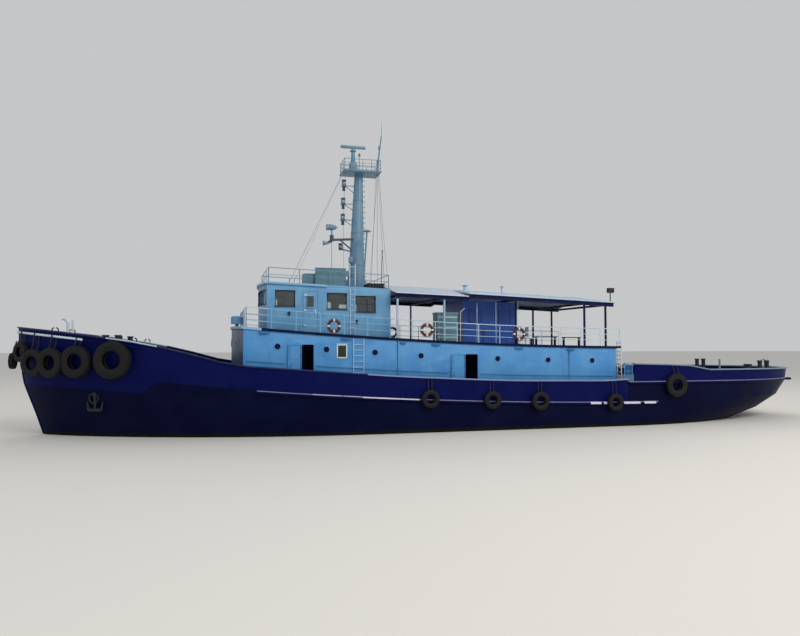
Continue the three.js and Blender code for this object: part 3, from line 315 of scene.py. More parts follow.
@dataclass(frozen=True)
class LaidRope(Finish):
    """Three-strand polypropylene rope, sun-bleached: dull, with the strands' slanting lay."""

    name: str = "laid_rope"
    colour: str = "2c2c38"
    dark: str = "12121a"
    turn: float = 0.022  # length of a strand's turn

    def lay(self, graph: Graph) -> None:
        """Lay the strands.

        Args:
            graph: The material's nodes.
        """
        waves = {"Vector": graph.place, "Scale": 1 / self.turn, "Distortion": 1.5, "Detail": 1.0}
        strands = graph.add("ShaderNodeTexWave", waves, bands_direction="DIAGONAL").outputs[0]
        graph.coat({"Base Color": graph.mix(strands, self.dark, self.colour), "Roughness": 0.9})
        graph.bump(strands, 0.8, 0.004)


@dataclass(frozen=True)
class BareMetal(Finish):
    """Cast, dipped or ground metal: its own colour, with spangle or tool marks and a dull bloom."""

    colour: str
    bloom: str
    roughness: float
    spangle: float  # size of a crystal or mark
    metallic: float = 1.0

    def lay(self, graph: Graph) -> None:
        """Lay the spangle and the bloom.

        Args:
            graph: The material's nodes.
        """
        cells = {"Vector": graph.place, "Scale": 1 / self.spangle}
        crystals = graph.add("ShaderNodeTexVoronoi", cells).outputs["Distance"]
        mottle = graph.noise(3.0, 6.0)
        share = graph.ramp(graph.math("MULTIPLY", mottle, crystals), 0.05, 0.4)
        matt = graph.ramp(mottle, 0.0, 1.0, self.roughness - 0.1, self.roughness + 0.15)
        colour = graph.mix(share, self.colour, self.bloom)
        graph.coat({"Base Color": colour, "Roughness": matt, "Metallic": self.metallic})
        graph.bump(mottle, 0.15, 0.001)


@dataclass(frozen=True)
class WindowGlass(Finish):
    """Float glass, toughened: clear or dark, with a film of salt."""

    tint: str
    see_through: float
    roughness: float = 0.02
    gloss: float = 0.5

    def lay(self, graph: Graph) -> None:
        """Lay the film of salt.

        Args:
            graph: The material's nodes.
        """
        film = graph.ramp(graph.noise(14.0, 6.0), 0.4, 0.9, self.roughness, self.roughness + 0.06)
        graph.coat({
            "Roughness": film, "Base Color": linear(self.tint), "Transmission Weight": self.see_through,
            "Specular IOR Level": self.gloss, "IOR": 1.52,
        })


@dataclass(frozen=True)
class Corrugated(Finish):
    """Zinc-coated sheet painted on a coil line and rolled into waves: pale, darker in the troughs from dirt
    and painted shade.
    """

    name: str = "coil_coated_sheet"
    colour: str = "a2b2c8"
    dirt_and_shade: str = "74849c"
    pitch: float = 0.14  # of the waves, with dirt and painted shade in their troughs

    def lay(self, graph: Graph) -> None:
        """Lay dirt and painted shade in the troughs, and stains.

        Args:
            graph: The material's nodes.
        """
        # The troughs are darkened: partly dirt, partly painted shade of the waves.
        trough_dirt_and_shade = graph.ramp(graph.math("WRAP", graph.axes()[0], self.pitch, 0.0), 0.0, 0.06, 0.8, 0.0)
        stain = graph.noise(2.6, 7.0)
        colour = graph.mix(graph.math("MULTIPLY_ADD", stain, 0.3, trough_dirt_and_shade), self.colour, self.dirt_and_shade)
        graph.coat({"Base Color": colour, "Roughness": 0.6, "Specular IOR Level": 0.2})
        graph.bump(stain, 0.2, 0.002)


@dataclass(frozen=True)
class OiledWood(Finish):
    """Teak slats, oiled and weathered: brown gone grey, with grain along the ship."""

    name: str = "weathered_teak"
    colour: str = "6e5138"
    grey: str = "8c8376"
    grain: float = 0.006  # spacing of the grain

    def lay(self, graph: Graph) -> None:
        """Lay the grain.

        Args:
            graph: The material's nodes.
        """
        lines = graph.noise(1 / self.grain, 5.0, stretch=(0.08, 1.0, 1.0))
        graph.coat({"Base Color": graph.mix(lines, self.colour, self.grey), "Roughness": 0.7})
        graph.bump(lines, 0.4, 0.001)


class Slot(Enum):
    """Each finish by its use, with how it is made."""

    # The plating's navy is darker than the bulwark's: painted shade of the hull's side under the strake. Its
    # deck coating, fouling and antifouling are real colours.
    PLATING = MarineEnamel(
        "alkyd_enamel_hull_navy_painted_shade", "04082a", "0c1234", run="0c0c14", plate=(2.2, 0.55), dent=0.01,
        roughness=0.42, patch=1.4, gloss=0.05, deck="4b5761", wet=("14170f", "3a1512"),
    )
    # Bulwarks and the upper band of the forecastle's side: the same navy without the plating's painted
    # shade.
    HULL = MarineEnamel(
        "alkyd_enamel_bulwark_navy", "060e48", "0d1650", run="10142e", plate=(2.2, 3.0), dent=0.005,
        roughness=0.42, patch=1.1, gloss=0.05,
    )
    # The strake's upward faces are lilac: a painted highlight, the sky's reflection on its rounded top.
    STRAKE = MarineEnamel(
        "alkyd_enamel_strake_painted_sky_highlight", "050a34", "0c1240", run="10142e", plate=(6.0, 3.0),
        dent=0.001, gloss=0.05, deck="8485ac", ledge=0.72,
    )
    # White on the strake's top over some stretches: partly worn paint, partly a painted highlight of the
    # sun.
    CHAFED = MarineEnamel(
        "worn_white_and_painted_sun_highlight", "c9cbdc", "e2e2ea", run="6e6c92", plate=(6.0, 3.0), dent=0.0005
    )
    CAP = MarineEnamel(
        "alkyd_enamel_cap_rail", "0c1448", "2a3468", run="7c7aa0", plate=(6.0, 3.0), dent=0.001, gloss=0.3,
        bands=(("a9c0cf", -9.65, -8.45), ("7f8ab4", -3.3, 4.4), ("6f8598", 4.4, 13.0)),
    )
    HOUSE = MarineEnamel("alkyd_enamel_house_blue", "3c87c6", "549ace", run="386489", roughness=0.42)
    WHEELHOUSE = MarineEnamel(
        "alkyd_enamel_wheelhouse_blue", "5a93c0", "6fa5c8", run="4c6c7c", plate=(1.1, 0.9), run_share=0.35
    )
    PALE = MarineEnamel(
        "alkyd_enamel_pale_blue", "c3d4e2", "dbe4ea", run="7c6a58", plate=(6.0, 3.0), dent=0.001
    )
    RAIL = MarineEnamel(
        "alkyd_enamel_rail_blue", "a9c6dc", "c6d8e2", run="6f7f8c", plate=(6.0, 3.0), dent=0.0005,
        bands=(("78acd8", -5.8, -2.5),),
    )
    # The deckhouse's curved front in dark slate: painted shade of the front, which faces away from the
    # light.
    FRONT = MarineEnamel("alkyd_enamel_front_painted_shade", "314a69", "3d5673", run="33302e", run_share=0.4)
    RIM = MarineEnamel(
        "alkyd_enamel_porthole_rim", "5c9ccc", "7fb0d6", run="3f6a92", plate=(9.0, 9.0), dent=0.0005
    )
    POSTS = MarineEnamel(
        "alkyd_enamel_canopy_posts", "0c1440", "1a2350", run="10142e", plate=(9.0, 9.0), dent=0.0005,
        gloss=0.1, bands=(("a5bacd", -2.48, -2.2), ("8fa6ba", -1.08, -0.92)), band_top=3.55,
    )
    TRIM = MarineEnamel(
        "alkyd_enamel_trim_navy", "070c30", "101a44", run="0e1230", plate=(6.0, 3.0), dent=0.001, gloss=0.1,
        deck="4f5b63", bands=(("8fb2d0", -8.0, -5.95),),
    )
    MAST = MarineEnamel(
        "alkyd_enamel_mast_blue", "5a829c", "738fa0", run="43525c", plate=(3.0, 1.2), dent=0.002,
        run_share=0.4,
    )
    # The casing's blue is made bright as in sunlight: partly its paint, partly painted sunlight, since the
    # canopy shades it.
    CASING = MarineEnamel(
        "alkyd_enamel_casing_blue_painted_sunlight", "1b4ea8", "2a5aaa", run="28344f", plate=(0.9, 4.0), dent=0.006
    )
    # The teal is made a little dark: partly its paint, partly painted shade of the canopy over the locker.
    TEAL = MarineEnamel(
        "alkyd_enamel_teal_painted_shade", "4a7585", "658c94", run="44544f", plate=(2.0, 2.0), dent=0.003, run_share=0.4
    )
    SLATE = MarineEnamel(
        "alkyd_enamel_lamp_slate", "33475a", "4b5d6b", run="20282e", plate=(9.0, 9.0), dent=0.0005, gloss=0.3
    )
    DARK = MarineEnamel(
        "bitumen_black_on_steel", "1b1f2a", "33353c", run="4a2f20", run_share=0.45, plate=(9.0, 9.0),
        roughness=0.6, gloss=0.3,
    )
    BUOY_RED = MarineEnamel(
        "lifebuoy_maroon", "3c0f1a", "551c26", run="3a2020", plate=(9.0, 9.0), dent=0.0005, roughness=0.5
    )
    BUOY_WHITE = MarineEnamel(
        "lifebuoy_white", "cfcdd6", "e4e2e0", plate=(9.0, 9.0), dent=0.0005, roughness=0.5
    )
    BLIND = MarineEnamel(
        "woven_blind_dark", "1c232a", "2f363a", plate=(9.0, 9.0), dent=0.002, roughness=0.8
    )
    DECK = DeckCoating()
    RUBBER = TyreRubber()
    ROPE = LaidRope()
    BRONZE = BareMetal("cast_manganese_bronze", "b98f4e", "7c6a3e", 0.3, 0.02)
    ZINC = BareMetal("hot_dip_galvanised_steel", "a9b2b8", "80898f", 0.45, 0.018, metallic=0.85)
    GLASS = WindowGlass("toughened_clear_glass", "e0eaea", 0.97)
    # The porthole's pane is opaque navy: painted shade of the dark room behind it.
    DARK_GLASS = WindowGlass("porthole_pane_painted_dark_room", "040f40", 0.0, roughness=0.3, gloss=0.1)
    GREEN_GLASS = WindowGlass("curtained_brown_glass", "2c3420", 0.0, roughness=0.3, gloss=0.2)
    LENS_CLEAR = WindowGlass("lamp_clear_lens", "b9c2c4", 0.5, roughness=0.08)
    SHEET = Corrugated()
    WOOD = OiledWood()


class Paints:
    """The finishes, each made once and kept by name."""

    made: dict[Slot, Material] = {}

    @classmethod
    def get(cls, slot: Slot) -> Material:
        """Give a finish's material, making it the first time.

        Args:
            slot: The finish.

        Returns:
            The material.
        """
        if slot not in cls.made:
            cls.made[slot] = slot.value.make()
        return cls.made[slot]


# Each record slot's finishes, first the one of a CAD node that shows as it is
FINISHES: dict[str, tuple[Slot, ...]] = {
    "hull_navy": (Slot.HULL, Slot.PLATING, Slot.STRAKE),
    "deck_paint": (Slot.DECK, Slot.WOOD),
    "house_blue": (Slot.HOUSE, Slot.FRONT, Slot.RIM),
    "wheelhouse_blue": (Slot.WHEELHOUSE,),
    "pale_paint": (Slot.PALE, Slot.CHAFED, Slot.CAP, Slot.RAIL, Slot.BUOY_WHITE, Slot.SHEET),
    "trim_navy": (Slot.TRIM, Slot.POSTS, Slot.BUOY_RED),
    "mast_blue": (Slot.MAST, Slot.SLATE),
    "tyre_rubber": (Slot.RUBBER,),
    "bronze": (Slot.BRONZE,),
    "window_glass": (Slot.GLASS, Slot.DARK_GLASS, Slot.GREEN_GLASS, Slot.LENS_CLEAR),
    "casing_blue": (Slot.CASING,),
    "teal_paint": (Slot.TEAL,),
    "galvanised": (Slot.ZINC, Slot.ROPE),
    "dark_steel": (Slot.DARK, Slot.BLIND),
}


class Bench:
    """The workbench: primitives shaped in edit mode, copied, joined and finished."""

    @staticmethod
    def pick(*pieces: Object) -> Object:
        """Select these pieces alone, the first as the active one.

        Args:
            *pieces: The pieces.

        Returns:
            The active piece.
        """
        bpy.ops.object.select_all(action="DESELECT")
        for piece in pieces:
            piece.select_set(True)
        bpy.context.view_layer.objects.active = pieces[0]
        return pieces[0]

    @staticmethod
    @contextmanager
    def editing(piece: Object) -> Iterator[BMesh]:
        """Open a piece in edit mode.

        Args:
            piece: The piece to shape.

        Yields:
            Its edit mesh, to select faces and edges by their place.
        """
        Bench.pick(piece)
        bpy.ops.object.mode_set(mode="EDIT")
        yield bmesh.from_edit_mesh(piece.data)
        bpy.ops.object.mode_set(mode="OBJECT")

    @staticmethod
    def settle(piece: Object) -> Object:
        """Put a piece's place, turn and size into its mesh.

        Args:
            piece: The piece.

        Returns:
            The same piece.
        """
        Bench.pick(piece)
        bpy.ops.object.transform_apply(location=True, rotation=True, scale=True)
        return piece

    @staticmethod
    def block(low: Point, high: Point) -> Object:
        """Add a block between two corners.

        Args:
            low: Lowest corner.
            high: Highest corner.

        Returns:
            The block.
        """
        bpy.ops.object.select_all(action="DESELECT")
        middle = [(a + b) / 2 for a, b in zip(low, high)]
        bpy.ops.mesh.primitive_cube_add(size=1.0, location=middle)
        piece = bpy.context.object
        piece.scale = [b - a for a, b in zip(low, high)]
        return Bench.settle(piece)

    @staticmethod
    def rod(start: Point, end: Point, radius: float, tip: float | None = None, sides: int = 12) -> Object:
        """Add a round bar between two points.

        Args:
            start: Middle of the first end.
            end: Middle of the other end.
            radius: Radius at the first end.
            tip: Radius at the other end, if it is another.
            sides: Faces round it.

        Returns:
            The bar.
        """
        bpy.ops.object.select_all(action="DESELECT")
        a, b = Vector(start), Vector(end)
        turn = (b - a).to_track_quat("Z", "Y").to_euler()
        bpy.ops.mesh.primitive_cone_add(
            vertices=sides,
            radius1=radius,
            radius2=radius if tip is None else tip,
            depth=(b - a).length,
            location=(a + b) / 2,
            rotation=turn,
        )
        return Bench.settle(bpy.context.object)

    @staticmethod
    def post(
        x: float, y: float, foot: float, head: float, radius: float, tip: float | None = None,
        sides: int = 12,
    ) -> Object:
        """Add an upright round bar, as rod does, from a foot's height to a head's."""
        return Bench.rod((x, y, foot), (x, y, head), radius, tip, sides)

    @staticmethod
    def ring(
        middle: Point, facing: Point, radius: float, thick: float, steps: int = 32, sides: int = 8
    ) -> Object:
        """Add a round ring.

        Args:
            middle: Its middle.
            facing: The direction of its axis.
            radius: From the middle to the middle of the ring's section.
            thick: Radius of the section.
            steps: Faces along it.
            sides: Faces round its section.

        Returns:
            The ring.
        """
        bpy.ops.object.select_all(action="DESELECT")
        turn = Vector(facing).to_track_quat("Z", "Y").to_euler()
        bpy.ops.mesh.primitive_torus_add(
            location=middle,
            rotation=turn,
            major_radius=radius,
            minor_radius=thick,
            major_segments=steps,
            minor_segments=sides,
        )
        return Bench.settle(bpy.context.object)

    @staticmethod
    def pipe(
        path: Sequence[Point],
        radius: float,
        sides: int = 8,
        smooth: bool = False,
        closed: bool = False,
        profile: Object | None = None,
    ) -> Object:
        """Bend a bar along a path and turn it into a mesh.

        Args:
            path: The points it passes.
            radius: Radius of the bar.
            sides: Faces round it.
            smooth: Whether the path is rounded at its points.
            closed: Whether the path ends where it starts.
            profile: A curve to sweep in place of a round section.

        Returns:
            The bent bar.
        """
        bpy.ops.object.select_all(action="DESELECT")
        bpy.ops.curve.primitive_nurbs_path_add()
        piece = bpy.context.object
        curve = piece.data
        curve.splines.clear()
        spline = curve.splines.new("NURBS" if smooth else "POLY")
        spline.points.add(len(path) - 1)
        for spot, place in zip(spline.points, path):
            spot.co = (*place, 1.0)
        spline.use_cyclic_u = closed
        if smooth:
            spline.order_u = 3
            spline.use_endpoint_u = not closed
            spline.resolution_u = 4
        curve.twist_mode = "Z_UP"
        curve.use_fill_caps = True
        if profile is None:
            curve.bevel_depth = radius
            curve.bevel_resolution = max(0, (sides - 4) // 2)
        else:
            curve.bevel_mode = "OBJECT"
            curve.bevel_object = profile
        bpy.ops.object.convert(target="MESH")
        return Bench.settle(bpy.context.object)

    @staticmethod
    def copy(piece: Object, move: Matrix) -> Object:
        """Copy a modelled piece with a mesh of its own.

        Args:
            piece: The piece to copy.
            move: Where the copy goes, from the piece's own place.

        Returns:
            The copy.
        """
        twin = piece.copy()
        twin.data = piece.data.copy()
        twin.data.transform(move)
        bpy.context.scene.collection.objects.link(twin)
        if move.determinant() < 0:
            twin.data.flip_normals()
        return twin

    @staticmethod
    def place(piece: Object, moves: Iterable[Matrix]) -> list[Object]:
        """Copy a pattern piece to many places and take the pattern away.

        Args:
            piece: The pattern, modelled at the origin.
            moves: Where each copy goes.

        Returns:
            The copies.
        """
        copies = [Bench.copy(piece, move) for move in moves]
        bpy.data.objects.remove(piece)
        return copies

    @staticmethod
    def both_sides(*pieces: Object) -> list[Object]:
        """Join port pieces into one and give it with its mirror image to starboard."""
        piece = Bench.join(pieces)
        return [piece, Bench.copy(piece, MIRROR)]

    @staticmethod
    def join(pieces: Sequence[Object]) -> Object:
        """Join pieces into the first one.

        Args:
            pieces: The pieces.

        Returns:
            The joined piece.
        """
        Bench.pick(*pieces)
        if len(pieces) > 1:
            bpy.ops.object.join()
        return bpy.context.object

    @staticmethod
    def paint(slot: Slot, *pieces: Object) -> list[Object]:
        """Give pieces one finish.

        Args:
            slot: The finish.
            *pieces: The pieces.

        Returns:
            The same pieces.
        """
        for piece in pieces:
            piece.data.materials.clear()
            piece.data.materials.append(Paints.get(slot))
        return list(pieces)

    @staticmethod
    def modify(piece: Object, kind: str, **settings: object) -> Object:
        """Add a modifier and apply it.

        Args:
            piece: The piece.
            kind: The modifier's type.
            **settings: Its properties.

        Returns:
            The piece.
        """
        Bench.pick(piece)
        modifier = piece.modifiers.new(kind.lower(), kind)
        for name, value in settings.items():
            setattr(modifier, name, value)
        bpy.ops.object.modifier_apply(modifier=modifier.name)
        return piece

    @staticmethod
    def merged(*nodes: str) -> Object:
        """Copy CAD nodes into one mesh with its doubled points merged.

        Args:
            *nodes: The nodes.

        Returns:
            The mesh.
        """
        copies = [Bench.copy(FRAME["nodes"][node], Matrix.Identity(4)) for node in nodes]
        for twin in copies:
            twin.parent = None
            for key in list(twin.keys()):
                del twin[key]
            twin.hide_render = False
            twin.hide_viewport = False
        piece = Bench.join(copies)
        piece.data.materials.clear()
        Bench.pick(piece)
        bpy.ops.mesh.customdata_custom_splitnormals_clear()
        with Bench.editing(piece):
            bpy.ops.mesh.select_all(action="SELECT")
            bpy.ops.mesh.remove_doubles(threshold=0.0002)
        return piece

    @staticmethod
    def tint(piece: Object, slot: Slot, wanted: Callable[[Vector], bool]) -> Object:
        """Give some faces of a painted piece another finish.

        Args:
            piece: The piece.
            slot: The other finish.
            wanted: Tells from a face's middle whether it gets it.

        Returns:
            The piece.
        """
        piece.data.materials.append(Paints.get(slot))
        index = len(piece.data.materials) - 1
        for face in piece.data.polygons:
            if wanted(face.center):
                face.material_index = index
        return piece

    @staticmethod
    def finish(
        pieces: Sequence[Object] | Object,
        name: str,
        slot: Slot,
        body: str = SHIP,
        replaces: Sequence[str] = (),
        bevel: float = 0.0,
        smooth: float = 35.0,
    ) -> Object:
        """Join, round, smooth, paint and seat a piece, and report it.

        Args:
            pieces: What makes up the piece.
            name: The piece's name.
            slot: Its finish, where its parts have none yet.
            body: The body it rides on.
            replaces: CAD nodes that it stands for.
            bevel: Width of the rounding on its sharp edges.
            smooth: Edges flatter than this many degrees are shaded smooth.

        Returns:
            The finished piece.
        """
        parts = [pieces] if isinstance(pieces, Object) else list(pieces)
        for part in parts:
            if not part.data.materials:
                Bench.paint(slot, part)
        piece = Bench.join(parts)
        if bevel:
            Bench.modify(
                piece, "BEVEL", width=bevel, segments=2, limit_method="ANGLE", angle_limit=math.radians(40)
            )
        Bench.pick(piece)
        bpy.ops.object.shade_smooth_by_angle(angle=math.radians(smooth))
        piece.name = name
        piece.data.name = name
        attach(piece, body)
        if replaces:
            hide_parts(*replaces)
        LOG.info("%s: %d faces on %s", name, len(piece.data.polygons), body)
        return piece


@dataclass
class Skin:
    """The outside of some CAD nodes, to seat pieces on."""

    nodes: tuple[str, ...]
    tree: BVHTree = field(init=False)

    def __post_init__(self) -> None:
        """Gather the nodes' faces for casting rays."""
        spots: list[Vector] = []
        faces: list[list[int]] = []
        for node in self.nodes:
            mesh = FRAME["nodes"][node].data
            base = len(spots)
            spots.extend(v.co.copy() for v in mesh.vertices)
            faces.extend([base + i for i in p.vertices] for p in mesh.polygons)
        self.tree = BVHTree.FromPolygons(spots, faces)

    def beside(self, x: float, z: float, side: int) -> tuple[Vector, Vector]:
        """Find the outside at a place along the ship and a height.

        Args:
            x: Place along the ship.
            z: Height.
            side: PORT or STARBOARD.

        Returns:
            The point and the outward normal.
        """
        hit, normal, _, _ = self.tree.ray_cast(Vector((x, side * 6.0, z)), Vector((0, -side, 0)))
        if hit is None:
            return Vector((x, side * 0.01, z)), Vector((0, side, 0))
        return hit, normal if normal.y * side > 0 else -normal

    def level(self, x: float, z: float, side: int) -> tuple[Vector, Vector]:
        """Find the outside as beside does, with its outward direction made level."""
        hit, normal = self.beside(x, z, side)
        return hit, Vector((normal.x, normal.y, 0)).normalized()

    def top(self, x: float, y: float, start: float = 12.0) -> float:
        """Find the height of the surface under a place."""
        hit = self.tree.ray_cast(Vector((x, y, start)), Vector((0, 0, -1)))[0]
        return hit.z if hit else 0.0

    def ahead(self, z: float) -> float:
        """Find where the stem is at a height."""
        hit = self.tree.ray_cast(Vector((-20.0, 0.001, z)), Vector((1, 0, 0)))[0]
        return hit.x if hit else -12.0


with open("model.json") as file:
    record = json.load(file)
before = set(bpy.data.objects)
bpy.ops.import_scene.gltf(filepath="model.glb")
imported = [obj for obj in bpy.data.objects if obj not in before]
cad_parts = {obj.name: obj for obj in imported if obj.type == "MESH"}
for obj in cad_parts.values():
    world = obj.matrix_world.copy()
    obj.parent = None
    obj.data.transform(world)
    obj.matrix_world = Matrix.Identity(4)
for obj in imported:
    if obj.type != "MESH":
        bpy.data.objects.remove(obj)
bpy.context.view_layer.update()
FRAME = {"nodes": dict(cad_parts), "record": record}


def facing(place: Vector, outward: Vector, size: float = 1.0) -> Matrix:
    """Make a move that turns a pattern's +Z to a direction, its +Y staying as upright as it can.

    Args:
        place: Where it goes.
        outward: The direction of its +Z.
        size: Factor on the size.

    Returns:
        The move.
    """
    turn = outward.to_track_quat("Z", "Y").to_matrix().to_4x4()
    return Matrix.Translation(place) @ turn @ Matrix.Scale(size, 4)


def spread(start: float, end: float, count: int) -> list[float]:
    """Give evenly spaced places from start to end, both counted."""
    return [start + (end - start) * i / (count - 1) for i in range(count)]


def corners(a0: float, a1: float, b0: float, b1: float) -> list[tuple[float, float]]:
    """Give a rectangle's corners in turn, from the lowest pair."""
    return [(a0, b0), (a1, b0), (a1, b1), (a0, b1)]


def outside(*nodes: str) -> Skin:
    """Declare a field that holds the outside of some nodes."""
    return field(default_factory=lambda: Skin(nodes))


@dataclass
class Lines:
    """The decks' heights along the ship, measured on the CAD solids."""

    main: Skin = outside("hull")
    boat: Skin = outside("boat_deck")
    roof: Skin = outside("wheelhouse_roof")
    fore: Skin = outside("forecastle")
    poop: Skin = outside("poop")
    side: Skin = outside(*SHELL, *BULWARKS)
    caps: Skin = outside(*CAPS)

    def main_deck(self, x: float) -> float:
        """Give the main deck's height at the ship's side."""
        return self.main.top(x, -2.0)

    def boat_deck(self, x: float) -> float:
        """Give the boat deck's height, clear of its benches."""
        return self.boat.top(x, -1.7)

    def cap(self, x: float) -> float:
        """Give the height of the port cap rail's top."""
        return max(self.caps.top(x, -y) for y in spread(0.03, 2.42, 60))


@dataclass
class Hull:
    """Plating, bulwarks with their stays, cap rails, stem bar, rudder and propeller."""

    lines: Lines
    stay_pitch: float = 0.65
    stay_foot: float = 0.13
    stay_heights: tuple[float, float] = (0.12, 0.8)  # a stay is made only between these
    stem_bar: float = 0.026

    def build(self) -> None:
        """Make the hull's pieces."""
        plating = Bench.paint(Slot.PLATING, Bench.merged(*SHELL))[0]
        Bench.tint(plating, Slot.DARK, self.on_bitts)
        Bench.tint(plating, Slot.PALE, lambda m: -10.87 < m.x < -10.5 and -0.8 < m.y < -0.5 and m.z > 2.36)
        # The forecastle's side above the main deck's line takes the bulwark's navy, so that the plating's
        # painted shade stays below it.
        Bench.tint(plating, Slot.HULL, self.on_flare)
        Bench.finish(plating, "hull_plating", Slot.PLATING, replaces=SHELL, smooth=28)
        Bench.finish(Bench.merged(*BULWARKS), "bulwark_plating", Slot.HULL, replaces=BULWARKS, smooth=28)
        Bench.finish(Bench.merged(*CAPS), "cap_rails", Slot.CAP, replaces=CAPS, bevel=0.008)
        for name, node, slot, bevel in (
            ("rudder_blade", "rudder", Slot.HULL, 0.006),
            ("propeller_bronze", "propeller", Slot.BRONZE, 0.003),
        ):
            Bench.finish(Bench.merged(node), name, slot, node, [node], bevel=bevel)
        self.stays()
        self.stem()

    def on_bitts(self, middle: Vector) -> bool:
        """Tell whether a face's middle is on the bitts of the forecastle or the poop.

        Args:
            middle: The face's middle.

        Returns:
            Whether it is.
        """
        fore = abs(middle.x + 9.56) < 0.36 and 1.1 < abs(middle.y) < 1.6 and middle.z > 2.3
        near = min(abs(middle.x - 6.9), abs(middle.x - 9.7)) < 0.36
        aft = near and abs(middle.y) > 1.2 and middle.z > POOP_DECK + 0.013
        return fore or aft

    def on_flare(self, middle: Vector) -> bool:
        """Tell whether a face's middle is on the forecastle's outside, above the plating's painted shade.

        Args:
            middle: The face's middle.

        Returns:
            Whether it is.
        """
        low, high = self.lines.main_deck(-7.4) - 0.06, self.lines.fore.top(middle.x, 0.0) - 0.06
        if not (middle.x < -7.5 and low < middle.z < high):
            return False
        side = STARBOARD if middle.y > 0 else PORT
        return abs(middle.y) > abs(self.lines.side.beside(middle.x, middle.z, side)[0].y) - 0.03

    def stays(self) -> None:
        """Weld stays inside the bulwarks, from the deck to under the cap rail."""
        foot = self.stay_foot
        pattern = Bench.block((-0.006, -0.5, 0.0), (0.006, 0.5, 1.0))
        with Bench.editing(pattern) as mesh:
            for spot in mesh.verts:
                if spot.co.z > 0.5 and spot.co.y > 0:
                    spot.co.y = -0.42
            bmesh.update_edit_mesh(pattern.data)
        moves = []
        spans = (
            (-11.2, -8.5, self.lines.fore), (-7.9, -6.7, self.lines.main),
            (-6.2, 4.1, self.lines.main), (4.7, 10.7, self.lines.poop),
        )
        for start, end, deck in spans:
            count = max(2, round((end - start) / self.stay_pitch))
            for x in spread(start, end, count):
                for side in BOTH:
                    outside, normal = self.lines.side.beside(x, self.lines.cap(x) - 0.07, side)
                    inner = outside - normal * 0.036
                    floor = deck.top(x, inner.y - side * 0.05, inner.z)
                    height = self.lines.cap(x) - 0.036 - floor
                    if not self.stay_heights[0] < height < self.stay_heights[1]:
                        continue
                    turn = Matrix.Rotation(math.atan2(normal.x, -normal.y), 4, "Z")
                    size = Matrix.Diagonal((1, foot, height, 1))
                    at = Vector((inner.x, inner.y, floor)) - normal.normalized() * foot * 0.48
                    moves.append(Matrix.Translation(at) @ turn @ size)
        Bench.finish(Bench.place(pattern, moves), "bulwark_stays", Slot.HULL)

    def stem(self) -> None:
        """Bend a bar up the stem."""
        heights = spread(0.02, 1.62, 12)
        bar = Bench.pipe([(self.lines.side.ahead(z) + 0.004, 0, z) for z in heights], self.stem_bar, 10)
        Bench.finish(bar, "stem_bar", Slot.HULL)


